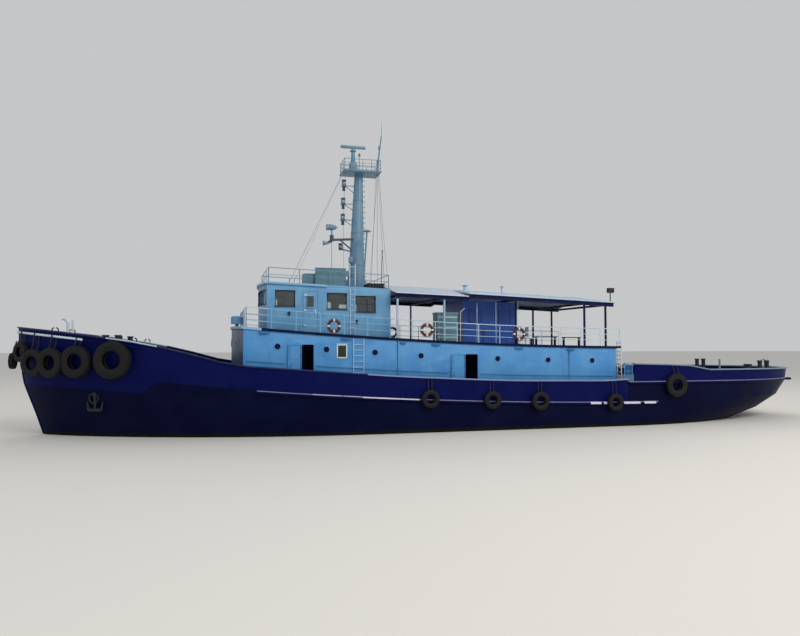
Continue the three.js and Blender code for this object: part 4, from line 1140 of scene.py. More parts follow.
@dataclass
class Fenders:
    """Rubbing strakes, the bow's pipe, and the tyres that hang over them on ropes."""

    lines: Lines
    # Columns: place along the ship, height, radius
    side_tyres: tuple[tuple[float, float, float], ...] = (
        (-1.643, 0.893, 0.235), (0.089, 0.832, 0.235), (1.489, 0.776, 0.25), (3.788, 0.69, 0.235),
    )
    bow_tyres: tuple[tuple[float, float, float], ...] = (
        (-9.43, 1.93, 0.45), (-10.29, 1.89, 0.39), (-10.9, 1.86, 0.36), (-11.36, 1.85, 0.34),
        (-11.74, 2.12, 0.25),
    )
    stern_tyre: tuple[float, float, float] = (5.783, 1.141, 0.33)
    stem_tyre: tuple[float, float, float] = (-12.096, 1.888, 0.205)
    roller: tuple[float, float] = (10.84, 1.212)
    pale_end: float = -10.15  # where the bow pipe's pale paint ends
    # Stretches of the main strakes whose top is white, partly worn paint and partly a painted highlight of
    # the sun: from, to, lowest height in the section
    chafed_and_sunlit: tuple[tuple[float, float, float], ...] = (
        (-4.71, -3.98, 0.03), (-3.93, -3.46, 0.03), (-3.44, -1.93, 0.02), (3.05, 3.38, -0.01),
        (3.47, 3.69, -0.01), (4.1, 4.63, -0.02), (4.76, 5.14, -0.02),
    )
    strake_out: float = 0.062
    strake_depth: float = 0.095
    bow_width: float = 0.23
    side_width: float = 0.13
    stern_width: float = 0.15
    blocks: int = 44  # tread blocks round a tyre

    def tyre(self, width: float) -> Object:
        """Model a tyre of radius 1 that faces +Z: beads, walls, shoulders and a blocked tread.

        Args:
            width: Its width as a share of its radius.

        Returns:
            The tyre.
        """
        half = width / 2
        # From the inner bead out over one shoulder to the other, then back along the inside: radius, share
        curve = [(0.5, 0.62), (0.56, 0.8), (0.7, 1.0), (0.84, 0.96), (0.95, 0.8), (0.995, 0.55), (1.0, 0.2)]
        inside = [(0.53, 0.5), (0.86, 0.6), (0.9, 0.0), (0.86, -0.6), (0.53, -0.5)]
        shares = [(r, -s) for r, s in curve] + curve[::-1] + inside
        outline = [(radius, half * share) for radius, share in shares]
        bpy.ops.object.select_all(action="DESELECT")
        bpy.ops.mesh.primitive_circle_add(vertices=len(outline), radius=1.0)
        piece = bpy.context.object
        for spot, (radius, height) in zip(piece.data.vertices, outline):
            spot.co = (radius, 0.0, height)
        with Bench.editing(piece) as mesh:
            bpy.ops.mesh.select_all(action="SELECT")
            bpy.ops.mesh.spin(
                steps=self.blocks, angle=math.tau, center=(0, 0, 0), axis=(0, 0, 1), use_auto_merge=False
            )
            bpy.ops.mesh.select_all(action="SELECT")
            bpy.ops.mesh.remove_doubles(threshold=0.0005)
            bpy.ops.mesh.normals_make_consistent(inside=False)
            bpy.ops.mesh.select_all(action="DESELECT")
            bpy.ops.mesh.select_mode(type="FACE")
            mesh = bmesh.from_edit_mesh(piece.data)
            for face in mesh.faces:
                middle = face.calc_center_median()
                if math.hypot(middle.x, middle.y) > 0.96:
                    face.select_set(True)
            bmesh.update_edit_mesh(piece.data)
            bpy.ops.mesh.inset(thickness=0.012, depth=0.018, use_individual=True)
        return piece

    def hang(self, width: float, spots: Sequence[tuple[Vector, Vector, float]]) -> list[Object]:
        """Set tyres of a width at places, each with its middle, its facing and its radius."""
        tyres = Bench.place(self.tyre(width), [facing(*spot) for spot in spots])
        return Bench.paint(Slot.RUBBER, *tyres)

    def strake(self, name: str, replaces: str, places: Sequence[float], side: int) -> None:
        """Sweep a half-round strake along the side under the deck's edge.

        Args:
            name: The piece's name.
            replaces: The CAD node it stands for.
            places: Places along the ship.
            side: PORT or STARBOARD.
        """
        ends = [x for start, end, _ in self.chafed_and_sunlit for x in (start, end)]
        pieces = [self.swept([(x, self.strake_middle(x)) for x in sorted([*places, *ends])], side)]
        # The white stretches on the strake's upper faces are partly worn paint and partly a painted
        # highlight of the sun.
        Bench.tint(pieces[0], Slot.CHAFED, self.worn_and_sunlit_white)
        spots, ropes = [], []
        for x, z, radius in self.side_tyres:
            skin, _ = self.lines.side.beside(x, z, side)
            middle = Vector((x, skin.y + side * (self.strake_out + self.side_width / 2 - 0.014), z))
            spots.append((middle, Vector((0, side, 0)), radius))
            top = self.lines.cap(x) - 0.012
            for lean in (-0.05, 0.05):
                over = self.lines.side.beside(x + lean, top - 0.03, side)[0].y
                bends = (
                    (middle.y, z + radius * 0.72), (over + side * 0.075, z + radius * 0.98),
                    (over + side * 0.062, z + radius + 0.08), (over + side * 0.05, top - 0.06),
                    (over + side * 0.012, top - 0.02),
                )
                ropes.append(Bench.pipe([(x + lean, *bend) for bend in bends], 0.011, 6, smooth=True))
        tyres = self.hang(self.side_width / 0.235, spots)
        Bench.paint(Slot.ROPE, *ropes)
        Bench.finish([*pieces, *tyres, *ropes], name, Slot.HULL, replaces=[replaces], smooth=40)

    def strake_middle(self, x: float) -> float:
        """Give the height of the main strake's middle."""
        return self.lines.main_deck(x) - 0.055

    def worn_and_sunlit_white(self, middle: Vector) -> bool:
        """Tell whether a face of the main strake is on a white stretch: partly chafed paint, partly a
        painted highlight of the sun on its top.
        """
        height = middle.z - self.strake_middle(middle.x)
        return any(start < middle.x < end and height > low for start, end, low in self.chafed_and_sunlit)

    def swept(self, places: Sequence[tuple[float, float]], side: int) -> Object:
        """Sweep the strake's section along the side.

        Args:
            places: Pairs of place along the ship and height of the strake's middle.
            side: PORT or STARBOARD.

        Returns:
            The strake.
        """
        half = self.strake_depth / 2
        out = self.strake_out
        path = []
        for x, z in places:
            skin, _ = self.lines.side.beside(x, z, side)
            path.append((x, skin.y, z))
        arc = [(-out * math.cos(a) * side, half * math.sin(a)) for a in spread(-math.pi / 2, math.pi / 2, 9)]
        section = [*arc, (0.012 * side, half), (0.012 * side, -half)]
        profile = bpy.data.objects.new("section", bpy.data.curves.new("section", "CURVE"))
        spline = profile.data.splines.new("POLY")
        spline.points.add(len(section) - 1)
        for spot, (across, up) in zip(spline.points, section):
            spot.co = (across, up, 0.0, 1.0)
        spline.use_cyclic_u = True
        bpy.context.scene.collection.objects.link(profile)
        piece = Bench.pipe(path, 0.0, profile=profile)
        bpy.data.objects.remove(profile)
        with Bench.editing(piece):
            bpy.ops.mesh.select_all(action="SELECT")
            bpy.ops.mesh.normals_make_consistent(inside=False)
        return Bench.paint(Slot.STRAKE, piece)[0]

    def bow(self) -> None:
        """Hang the bow tyres from their pipe, with one over the stem."""
        spots, ropes = [], []
        for side in BOTH:
            for x, z, radius in self.bow_tyres:
                width = self.stern_width if radius < 0.3 else self.bow_width
                skin, outward = self.lines.side.level(x, z, side)
                reach = width / 2 + 0.034
                over = self.lines.side.beside(x, self.lines.cap(x) - 0.12, side)[0]
                middle = Vector((x + outward.x * reach, over.y + outward.y * reach * 0.2, z))
                if abs(skin.y + outward.y * reach) > abs(middle.y):
                    middle.y = skin.y + outward.y * reach
                spots.append((middle, outward, radius))
                for lean in (-0.06, 0.06):
                    path = [
                        (middle.x + lean, middle.y, z + radius * 0.7),
                        (middle.x + lean, middle.y + side * 0.03, z + radius * 0.99),
                        (over.x + lean + outward.x * 0.05, over.y + outward.y * 0.06, z + radius + 0.05),
                        (over.x + lean, over.y + outward.y * 0.045, self.lines.cap(x) - 0.09),
                    ]
                    ropes.append(Bench.pipe(path, 0.014, 6, smooth=True))
        tyres = self.hang(self.bow_width / 0.4, spots)
        x, z, radius = self.stem_tyre
        tyres += self.hang(self.stern_width / 0.205, [(Vector((x, 0, z)), Vector((-1, 0, 0)), radius)])
        path = [(x, 0, z + radius * 0.7), (x - 0.01, 0, z + radius), (x + 0.08, 0, 2.4)]
        ropes.append(Bench.pipe(path, 0.014, 6))
        Bench.paint(Slot.ROPE, *ropes)
        pipes = []
        for side in BOTH:
            path = []
            for x in spread(-11.93, -8.9, 22):
                height = self.lines.cap(x) - 0.135
                path.append(self.lines.side.beside(x, height, side)[0] + Vector((0, side * 0.028, 0)))
            path.insert(0, Vector((self.lines.side.ahead(path[0].z) - 0.02, 0, path[0].z)))
            pipe = Bench.paint(Slot.PALE, Bench.pipe(path, 0.03, 10))[0]
            pipes.append(Bench.tint(pipe, Slot.HULL, lambda m: m.x > self.pale_end))
        Bench.finish([*tyres, *ropes, *pipes], "bow_tyres", Slot.RUBBER, replaces=["bow_fender"], smooth=40)

    def build(self) -> None:
        """Make the strakes and their tyres."""
        places = spread(-6.08, 5.23, 34)
        for side, word in SIDES:
            self.strake(f"{word}_strake", f"strake_{word}", places, side)
        self.bow()
        self.stern()

    def stern(self) -> None:
        """Sweep the upper strake round the stern, with its tyres and a roller on each quarter."""
        height = POOP_DECK - 0.047
        places = [(x, height) for x in [*spread(4.29, 10.5, 22), 10.7, 10.9, 11.05, 11.17, 11.26, 11.31]]
        pieces = []
        for side in BOTH:
            pieces.append(self.swept(places, side))
            skin, outward = self.lines.side.level(*self.roller, side)
            pieces.append(Bench.rod(skin - outward * 0.02, skin + outward * 0.15, 0.04, sides=16))
            pieces.append(Bench.rod(skin + outward * 0.15, skin + outward * 0.19, 0.041, 0.03, 16))
        x, z, radius = self.stern_tyre
        spots, ropes = [], []
        for side in BOTH:
            skin, outward = self.lines.side.level(x, z, side)
            middle = skin + outward * (self.strake_out + 0.044)
            spots.append((middle, outward, radius))
            for lean in (-0.07, 0.07):
                top = self.lines.cap(x + lean) - 0.05
                over = self.lines.side.beside(x + lean, top, side)[0].y
                bends = (
                    (middle.y, z + radius * 0.7), (middle.y + side * 0.02, z + radius),
                    (over + side * 0.03, top - 0.03), (over, top),
                )
                ropes.append(Bench.pipe([(x + lean, *bend) for bend in bends], 0.013, 6, smooth=True))
        tyres = self.hang(self.stern_width / radius, spots)
        Bench.paint(Slot.ROPE, *ropes)
        pieces += [*tyres, *ropes]
        Bench.finish(pieces, "stern_strake", Slot.HULL, replaces=["strake_stern"], smooth=40)


@dataclass
class Deckhouse:
    """The deckhouse's plating with its portholes, door gear, storm rails, trays and pipes."""

    lines: Lines
    wall: float = 1.85
    # Columns: place along the ship, height
    portholes: tuple[tuple[float, float], ...] = (
        (-5.545, 2.259), (-4.284, 2.18), (-2.989, 2.099), (-1.718, 2.006), (0.505, 1.917), (2.038, 1.872),
        (3.431, 1.85),
    )
    front_portholes: tuple[float, ...] = (-1.1, 0.0, 1.1)
    glass: float = 0.084
    window: tuple[float, float, float, float] = (-3.995, -3.755, 1.97, 2.297)
    # Stretches of the storm rail between the doors
    grips: tuple[tuple[float, float], ...] = ((-6.31, -5.36), (-4.54, -0.94), (0.0, 4.1))
    trays: tuple[tuple[float, float], ...] = (
        (-6.02, -5.74), (-3.91, -3.62), (-2.3, -2.14), (-1.42, -1.17), (1.01, 1.28), (2.62, 2.86),
    )
    ladder: tuple[float, float] = (-3.6, -3.27)
    front: float = -6.405  # where the curved front ends

    def build(self) -> None:
        """Make the deckhouse's pieces."""
        walls = ["house_front", "house_port", "house_starboard", "house_aft"]
        plating = Bench.paint(Slot.HOUSE, Bench.merged(*walls))[0]
        edge = self.wall + 0.004
        low, high = self.ladder
        Bench.tint(plating, Slot.PALE, lambda m: abs(m.y) > edge + 0.012 and low < m.x < high)
        # The curved front gets painted shade: a dark slate for the face that the light misses.
        Bench.tint(plating, Slot.FRONT, lambda m: m.x < self.front)
        Bench.finish(plating, "deckhouse_plating", Slot.HOUSE, replaces=walls, bevel=0.003, smooth=30)
        self.lights()
        self.gear()
        self.doors()
        self.aft_wall()

    def porthole(self) -> Object:
        """Model a porthole that faces +Z: rim, glass, inner ring and its dogs.

        Returns:
            The porthole.
        """
        rim = [
            Bench.ring((0, 0, 0.003), (0, 0, 1), self.glass + 0.007, 0.009),
            Bench.ring((0, 0, 0.005), (0, 0, 1), self.glass - 0.008, 0.003),
        ]
        for turn in range(6):
            angle = math.tau * turn / 6
            at = Vector((math.cos(angle), math.sin(angle), 0)) * (self.glass + 0.009)
            rim.append(Bench.rod(at, at + Vector((0, 0, 0.015)), 0.005, sides=6))
        Bench.paint(Slot.RIM, *rim)
        # An opaque dark pane: painted shade of the room behind the porthole.
        pane = Bench.post(0, 0, -0.002, 0.006, self.glass, sides=28)
        Bench.paint(Slot.DARK_GLASS, pane)
        return Bench.join([*rim, pane])

    def lights(self) -> None:
        """Set the portholes round the house and the one square window a side."""
        moves = []
        for side in BOTH:
            for x, z in self.portholes:
                moves.append(facing(Vector((x, side * self.wall, z)), Vector((0, side, 0))))
        front = Skin(("house_front",))
        for y in self.front_portholes:
            hit, normal, _, _ = front.tree.ray_cast(Vector((-9.0, y, 2.35)), Vector((1, 0, 0)))
            moves.append(facing(hit, -normal if normal.x > 0 else normal))
        moves += [facing(Vector((AFT_WALL, y, 1.75)), Vector((1, 0, 0))) for y in (-1.2, 1.2)]
        Bench.finish(Bench.place(self.porthole(), moves), "portholes", Slot.RIM)
        x0, x1, z0, z1 = self.window
        face, back = -self.wall - 0.012, -self.wall + 0.002
        frame = [
            Bench.block((x0 - 0.02, face, z0 - 0.02), (x0 + 0.012, back, z1 + 0.02)),
            Bench.block((x1 - 0.012, face, z0 - 0.02), (x1 + 0.02, back, z1 + 0.02)),
            Bench.block((x0, face, z0 - 0.02), (x1, back, z0 + 0.012)),
            Bench.block((x0, face, z1 - 0.012), (x1, back, z1 + 0.02)),
            Bench.block((x0 - 0.04, face - 0.014, z1 + 0.03), (x1 + 0.04, back, z1 + 0.04)),
        ]
        Bench.paint(Slot.PALE, *frame)
        pane = Bench.block((x0, -self.wall - 0.005, z0), (x1, back, z1))
        Bench.paint(Slot.GREEN_GLASS, pane)
        Bench.finish(Bench.both_sides(*frame, pane), "square_windows", Slot.PALE, bevel=0.002)

    def gear(self) -> None:
        """Run the storm rails, the lamps' trays and the drain pipes down the side walls."""
        out = -self.wall - 0.03
        pieces = []
        for start, end in self.grips:
            places = spread(start, end, max(3, round((end - start) / 0.45)))
            path = [(x, out, self.lines.main_deck(x) + 0.7) for x in places]
            pieces.append(Bench.pipe(path, 0.008, 8))
            for x, y, z in path[:: 2 if len(path) > 4 else 1]:
                pieces.append(Bench.rod((x, -self.wall, z - 0.01), (x, y, z), 0.005, sides=6))
        for x0, x1 in self.trays:
            middle, half = (x0 + x1) / 2, (x1 - x0) / 2
            height = self.lines.boat_deck(middle) - 0.075
            shade = [
                (middle + half * math.cos(a), -self.wall - 0.004 - 0.09 * math.sin(a), height - 0.03)
                for a in spread(0.0, math.pi, 9)
            ]
            pieces.append(Bench.pipe(shade, 0.008, 6))
            foot, head = height - 0.07, height - 0.02
            lip = Bench.post(middle, -self.wall, foot, head, half, sides=24)
            with Bench.editing(lip) as mesh:
                for spot in mesh.verts:
                    reach = (spot.co.y + self.wall) / half
                    low = 0.6 if spot.co.z < height - 0.045 else 1.0
                    spot.co.y = -self.wall - 0.001 + min(0.0, reach) * 0.09 * low
                bmesh.update_edit_mesh(lip.data)
            pieces.append(lip)
        Bench.finish(Bench.both_sides(*pieces), "storm_rails_and_lamps", Slot.HOUSE, smooth=50)
        drains = []
        for x in (-2.372, 2.69):
            top, foot = self.lines.boat_deck(x) - 0.07, self.lines.main_deck(x)
            path = [(x, -1.87, top), (x, -1.87, foot + 0.12), (x, -1.9, foot + 0.05)]
            drains.append(Bench.pipe(path, 0.012, 8))
            for height in (foot + 0.3, (top + foot) / 2, top - 0.15):
                drains.append(Bench.ring((x, -1.868, height), UP, 0.014, 0.005, 16, 6))
        Bench.finish(Bench.both_sides(*drains), "deck_drains", Slot.HOUSE)

    def doors(self) -> None:
        """Fit each weathertight leaf with ribs, dogs, a handle and straps; they ride on the leaf."""
        face, inset = -1.898, 0.032
        for end in ("fore", "aft"):
            for side, word in SIDES:
                low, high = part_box(f"house_door_{word}_{end}")
                grip, pull, hinge = low.x + 0.05, low.x + 0.09, high.x - 0.01
                middle, tall = (low.z + high.z) / 2, high.z - low.z
                pieces = []
                for share in (0.34, 0.66):
                    z = low.z + tall * share
                    foot, head = (grip, face - 0.012, z - 0.008), (high.x - 0.06, face, z + 0.008)
                    pieces.append(Bench.block(foot, head))
                for share in (0.16, 0.5, 0.84):
                    z = low.z + tall * share
                    pin = (grip, face + 0.004, z), (grip, face - 0.02, z)
                    foot = (grip - 0.006, face - 0.024, z - 0.045)
                    head = (grip + 0.006, face - 0.016, z + 0.012)
                    pieces += [Bench.rod(*pin, 0.008, sides=10), Bench.block(foot, head)]
                for share in (0.14, 0.86):
                    z = low.z + tall * share
                    foot, head = (hinge - 0.12, face - 0.006, z - 0.014), (hinge - 0.03, face, z + 0.014)
                    pieces.append(Bench.block(foot, head))
                bends = ((0, -0.07), (-0.022, -0.06), (-0.022, 0.06), (0, 0.07))
                bow = [(pull, face + out, middle + rise) for out, rise in bends]
                pieces.append(Bench.pipe(bow, 0.005, 6))
                Bench.paint(Slot.HOUSE, *pieces)
                edge = corners(low.x + inset, high.x - inset, low.z + inset, high.z - inset)
                seal = Bench.pipe([(x, face - 0.001, z) for x, z in edge], 0.004, 6, closed=True)
                Bench.paint(Slot.RUBBER, seal)
                fittings = Bench.join([*pieces, seal])
                if side == STARBOARD:
                    fittings = Bench.place(fittings, [MIRROR])[0]
                name, body = f"door_fittings_{word}_{end}", f"door_{word}_{end}"
                Bench.finish(fittings, name, Slot.HOUSE, body, bevel=0.002)

    def aft_wall(self) -> None:
        """Dress the wall that faces the poop: a shut door, a ladder and pipes."""
        x, deck = AFT_WALL, POOP_DECK
        shut = [
            Bench.block((x, -0.24, deck + 0.06), (x + 0.022, 0.24, deck + 0.86)),
            Bench.block((x, -0.27, deck + 0.03), (x + 0.01, 0.27, deck + 0.89)),
        ]
        for z in (deck + 0.2, deck + 0.46, deck + 0.72):
            shut.append(Bench.rod((x + 0.02, 0.19, z), (x + 0.04, 0.19, z), 0.009, sides=8))
            shut.append(Bench.block((x + 0.034, 0.182, z - 0.05), (x + 0.044, 0.198, z + 0.012)))
            hinge = Vector((x + 0.012, -0.255, z))
            shut.append(Bench.rod(hinge - UP * 0.03, hinge + UP * 0.03, 0.01, sides=8))
        Bench.finish(shut, "aft_door", Slot.HOUSE, bevel=0.004)
        # The ladder stands on the poop deck, just clear of the boat deck's edge
        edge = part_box("boat_deck")[1].x + 0.022
        outer, inner = -1.86, -1.64
        stiles = []
        for y in (outer, inner):
            stiles.append(Bench.post(edge, y, deck, 2.42, 0.013, sides=8))
            stiles.append(Bench.rod((x, y, 1.7), (edge, y, 1.7), 0.009, sides=6))
        for z in spread(deck + 0.13, 2.36, 9):
            stiles.append(Bench.rod((edge, outer, z), (edge, inner, z), 0.009, sides=6))
        for y, radius in ((0.62, 0.022), (0.7, 0.014), (-0.55, 0.018)):
            path = [(x + 0.026, y, deck + 0.01), (x + 0.026, y, 2.1), (x, y, 2.13)]
            stiles.append(Bench.pipe(path, radius, 10))
        Bench.finish(stiles, "aft_ladder_and_pipes", Slot.PALE)


@dataclass
class Railing:
    """A pipe railing: stanchions at a pitch with bars run through them."""

    name: str
    node: str
    corners: tuple[tuple[float, float], ...]
    height: float
    pitch: float
    bars: tuple[tuple[float, float], ...]  # height as a share, radius
    floor: Callable[[float], float]
    post: float = 0.011
    slot: Slot = Slot.PALE

    def pieces(self) -> list[Object]:
        """Model the railing's stanchions and bars.

        Returns:
            The pieces.
        """
        made = []
        for (ax, ay), (bx, by) in zip(self.corners, self.corners[1:]):
            count = max(2, round(math.hypot(bx - ax, by - ay) / self.pitch) + 1)
            spots = [(ax + (bx - ax) * t, ay + (by - ay) * t) for t in spread(0.0, 1.0, count)]
            for x, y in spots:
                foot = self.floor(x)
                made.append(Bench.post(x, y, foot, foot + self.height, self.post, sides=8))
                made.append(Bench.post(x, y, foot, foot + 0.012, self.post * 2.4, sides=8))
        for share, radius in self.bars:
            path = []
            for (ax, ay), (bx, by) in zip(self.corners, self.corners[1:]):
                steps = max(1, round(abs(bx - ax) / 1.3))
                for step in range(steps):
                    x, y = ax + (bx - ax) * step / steps, ay + (by - ay) * step / steps
                    path.append((x, y, self.floor(x) + self.height * share))
            x, y = self.corners[-1]
            path.append((x, y, self.floor(x) + self.height * share))
            made.append(Bench.pipe(path, radius, 8))
        return made


@dataclass(frozen=True)
class Slopes:
    """A canopy's ridge and eaves, which fall towards the stern."""

    span: tuple[float, float]  # its ends along the ship
    half: float  # half its width
    ridge: float  # height of the ridge at x = 0
    eave: float  # height of the eaves at x = 0
    fall: float  # drop of both towards the stern, a metre

    def height(self, x: float, share: float) -> float:
        """Give the height at a place along the ship and a share of the way out to the eave."""
        return self.ridge + (self.eave - self.ridge) * share - self.fall * x

    def along(self, share: float, side: int, drop: float, inset: float) -> list[tuple[float, float, float]]:
        """Give the two ends of a bar along the canopy, with the heights of the sheet's own ends.

        Args:
            share: How far out it lies, as a share of the way to the eave.
            side: PORT or STARBOARD.
            drop: How far it lies under the sheet.
            inset: How far it stops short of the sheet's ends.

        Returns:
            The two ends.
        """
        start, end = self.span
        y = side * self.half * share
        ends = ((start + inset, start), (end - inset, end))
        return [(x, y, self.height(at, share) - drop) for x, at in ends]

    def edge(self, y: float, drop: float) -> list[tuple[float, float, float]]:
        """Give the two ends of the line along an eave, so far out and under the sheet."""
        ends = (self.span[0] + 0.01, self.span[1] - 0.01)
        return [(x, y, self.height(x, 1.0) - drop) for x in ends]


@dataclass
class BoatDeck:
    """What stands on the boat deck: rails with lifebuoys, benches, casing, locker and canopies."""

    lines: Lines
    rail_y: float = 1.86
    # Columns: place along the ship, height
    lifebuoys: tuple[tuple[float, float], ...] = ((-4.097, 2.792), (-1.563, 2.702), (1.129, 2.604))
    benches: tuple[tuple[float, float], ...] = ((1.75, 2.45), (2.62, 3.22))
    fore_roof: Slopes = Slopes((-2.41, -0.31), 1.8, 3.9855, 3.6405, 0.033)
    aft_roof: Slopes = Slopes((-0.29, 4.26), 1.78, 3.945, 3.725, 0.04)
    wave: float = 0.14  # pitch of the sheet's waves, twice the real one so that they show
    crest: float = 0.011

    def build(self) -> None:
        """Make the boat deck's pieces."""
        self.rails()
        self.canopies()
        self.casing()
        self.furniture()

    def lifebuoy(self) -> Object:
        """Model a lifebuoy that faces +Z: a maroon ring with four white bands and its grab line.

        Returns:
            The lifebuoy.
        """
        ring = Bench.ring((0, 0, 0), (0, 0, 1), 0.145, 0.037, 40, 12)
        Bench.paint(Slot.BUOY_RED, ring)
        Bench.tint(ring, Slot.BUOY_WHITE, lambda m: math.cos(4 * math.atan2(m.y, m.x)) > 0.86)
        line = []
        for turn in range(24):
            angle = math.tau * turn / 24
            reach = 0.186 + 0.012 * abs(math.sin(2 * angle))
            line.append((reach * math.cos(angle), reach * math.sin(angle), 0.0))
        cord = Bench.pipe(line, 0.004, 6, smooth=True, closed=True)
        Bench.paint(Slot.ROPE, cord)
        return Bench.join([ring, cord])

    def rails(self) -> None:
        """Run the rail round the deck's edge and hang the lifebuoys on it."""
        y = self.rail_y
        railing = Railing(
            "boat_deck_railing", "boat_deck_rail", ((4.33, -y), (-6.33, -y), (-6.33, y), (4.33, y)), 0.5,
            0.64, ((1.0, 0.011), (0.67, 0.007), (0.34, 0.007)), self.lines.boat_deck,
        )
        pieces = Bench.paint(Slot.RAIL, *railing.pieces())
        moves = [
            facing(Vector((x, side * (y + 0.041), z)), Vector((0, side, 0)))
            for x, z in self.lifebuoys
            for side in BOTH
        ]
        pieces += Bench.place(self.lifebuoy(), moves)
        Bench.finish(pieces, railing.name, Slot.RAIL, replaces=[railing.node])

    def sheet(self, slopes: Slopes) -> Object:
        """Roll a corrugated sheet over a canopy's ridge.

        Args:
            slopes: The canopy.

        Returns:
            The sheet.
        """
        start, end = slopes.span
        columns = round((end - start) / self.wave * 6)
        bpy.ops.object.select_all(action="DESELECT")
        bpy.ops.mesh.primitive_grid_add(x_subdivisions=columns, y_subdivisions=2, size=1.0)
        piece = bpy.context.object
        for spot in piece.data.vertices:
            x = start + (end - start) * (spot.co.x + 0.5)
            out = round(spot.co.y * 2)
            wave = self.crest * math.cos(math.tau * x / self.wave) - self.crest
            spot.co = (x, slopes.half * out, slopes.height(x, abs(out)) + wave)
        Bench.modify(piece, "SOLIDIFY", thickness=0.004, offset=-1.0)
        return Bench.paint(Slot.SHEET, piece)[0]

    def purlins(
        self, slopes: Slopes, shares: Sequence[float], drop: float, radius: float
    ) -> list[Object]:
        """Run bars along under a canopy's sheet.

        Args:
            slopes: The canopy.
            shares: How far out each pair of bars lies.
            drop: How far the bars lie under the sheet.
            radius: Radius of a bar.

        Returns:
            The bars.
        """
        lines = [slopes.along(share, side, drop, 0.02) for share in shares for side in BOTH]
        return [Bench.rod(start, end, radius, sides=6) for start, end in lines]

    def canopies(self) -> None:
        """Lay the corrugated sheets on purlins, with fascias at their edges and the vents on top."""
        roof = self.fore_roof
        fore = self.sheet(roof)
        edges = []
        for side in BOTH:
            edges.append(Bench.pipe(roof.edge(side * 1.792, 0.008), 0.012, 8))
        edges += self.purlins(roof, (0.25, 0.5, 0.75), 0.03, 0.01)
        Bench.paint(Slot.PALE, *edges)
        Bench.finish([fore, *edges], "fore_canopy", Slot.SHEET, replaces=["canopy_sheet"], smooth=50)
        roof = self.aft_roof
        aft = self.sheet(roof)
        extras = self.purlins(roof, (0.2, 0.4, 0.6, 0.8), 0.024, 0.009)
        fascia = []
        for side in BOTH:
            fascia.append(Bench.pipe(roof.edge(side * 1.772, 0.013), 0.016, 8))
        for x in (roof.span[0] + 0.016, roof.span[1] - 0.016):
            path = [(x, y, roof.height(x, abs(y) / roof.half) - 0.025) for y in (-1.77, 0.0, 1.77)]
            fascia.append(Bench.pipe(path, 0.014, 8))
        cap = Bench.rod(*roof.along(0.0, STARBOARD, -0.005, 0.01), 0.02, sides=10)
        for x, y, foot, head, wide in ((0.123, -0.3, 3.88, 4.119, 0.1), (1.228, -0.5, 3.84, 4.09, 0.07)):
            extras.append(Bench.post(x, y, foot, head - 0.05, wide * 0.5, sides=16))
            extras.append(Bench.post(x, y, head - 0.06, head - 0.035, wide * 0.8, wide, 20))
            extras.append(Bench.post(x, y, head - 0.035, head, wide, wide * 0.5, 20))
        Bench.paint(Slot.RAIL, *extras, *fascia, cap)
        pieces = [aft, cap, *fascia, *extras]
        Bench.finish(pieces, "aft_canopy", Slot.SHEET, replaces=["aft_roof"], smooth=50)

    def casing(self) -> None:
        """Dress the engine casing with ribs and louvres, and the deck with pipes and a locker's lid."""
        low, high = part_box("engine_casing")
        face = low.y
        ribs = [
            Bench.post(x, face, low.z + 0.08, 3.5 - 0.04 * x, 0.009, sides=6)
            for x in spread(low.x + 0.03, high.x - 0.03, 26)
        ]
        Bench.finish(Bench.both_sides(*ribs), "casing_ribs", Slot.CASING)
        louvres = []
        for x0 in (low.x + 0.16, high.x - 0.56):
            frame = [(x, face - 0.012, z) for x, z in corners(x0, x0 + 0.4, 2.95, 3.3)]
            louvres.append(Bench.pipe(frame, 0.01, 6, closed=True))
            for z in spread(2.98, 3.27, 8):
                foot, head = (x0, face - 0.022, z - 0.002), (x0 + 0.4, face - 0.006, z + 0.002)
                louvres.append(Bench.block(foot, head))
        Bench.finish(Bench.both_sides(*louvres), "casing_louvres", Slot.CASING)
        pipes = []
        for x, head in ((0.073, 3.48), (0.65, 3.52), (1.33, 3.62)):
            pipes.append(Bench.post(x, -1.4, self.lines.boat_deck(x), head, 0.008, sides=8))
        pipes.append(Bench.rod((-0.425, -1.4, 3.22), (-0.3, -1.4, 3.33), 0.012, sides=8))
        deck = self.lines.boat_deck(-0.425)
        pipes.append(Bench.post(-0.425, -1.4, deck, 3.22, 0.01, sides=8))
        low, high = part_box("deck_locker")
        middle = (low + high) / 2
        for z in (low.z + 0.12, middle.z, high.z - 0.12):
            foot, head = (low.x + 0.02, low.y - 0.004, z - 0.01), (high.x - 0.02, low.y, z + 0.01)
            pipes.append(Bench.block(foot, head))
        Bench.finish(pipes, "deck_pipes", Slot.PALE)
        foot = (low.x - 0.015, low.y - 0.015, high.z - 0.03)
        lid = Bench.block(foot, high + Vector((0.015, 0.015, 0.012)))
        foot = (middle.x - 0.003, low.y - 0.003, low.z + 0.04)
        seam = Bench.block(foot, (middle.x + 0.003, low.y, high.z - 0.04))
        Bench.finish([lid, seam], "locker_lid", Slot.TEAL, bevel=0.005)

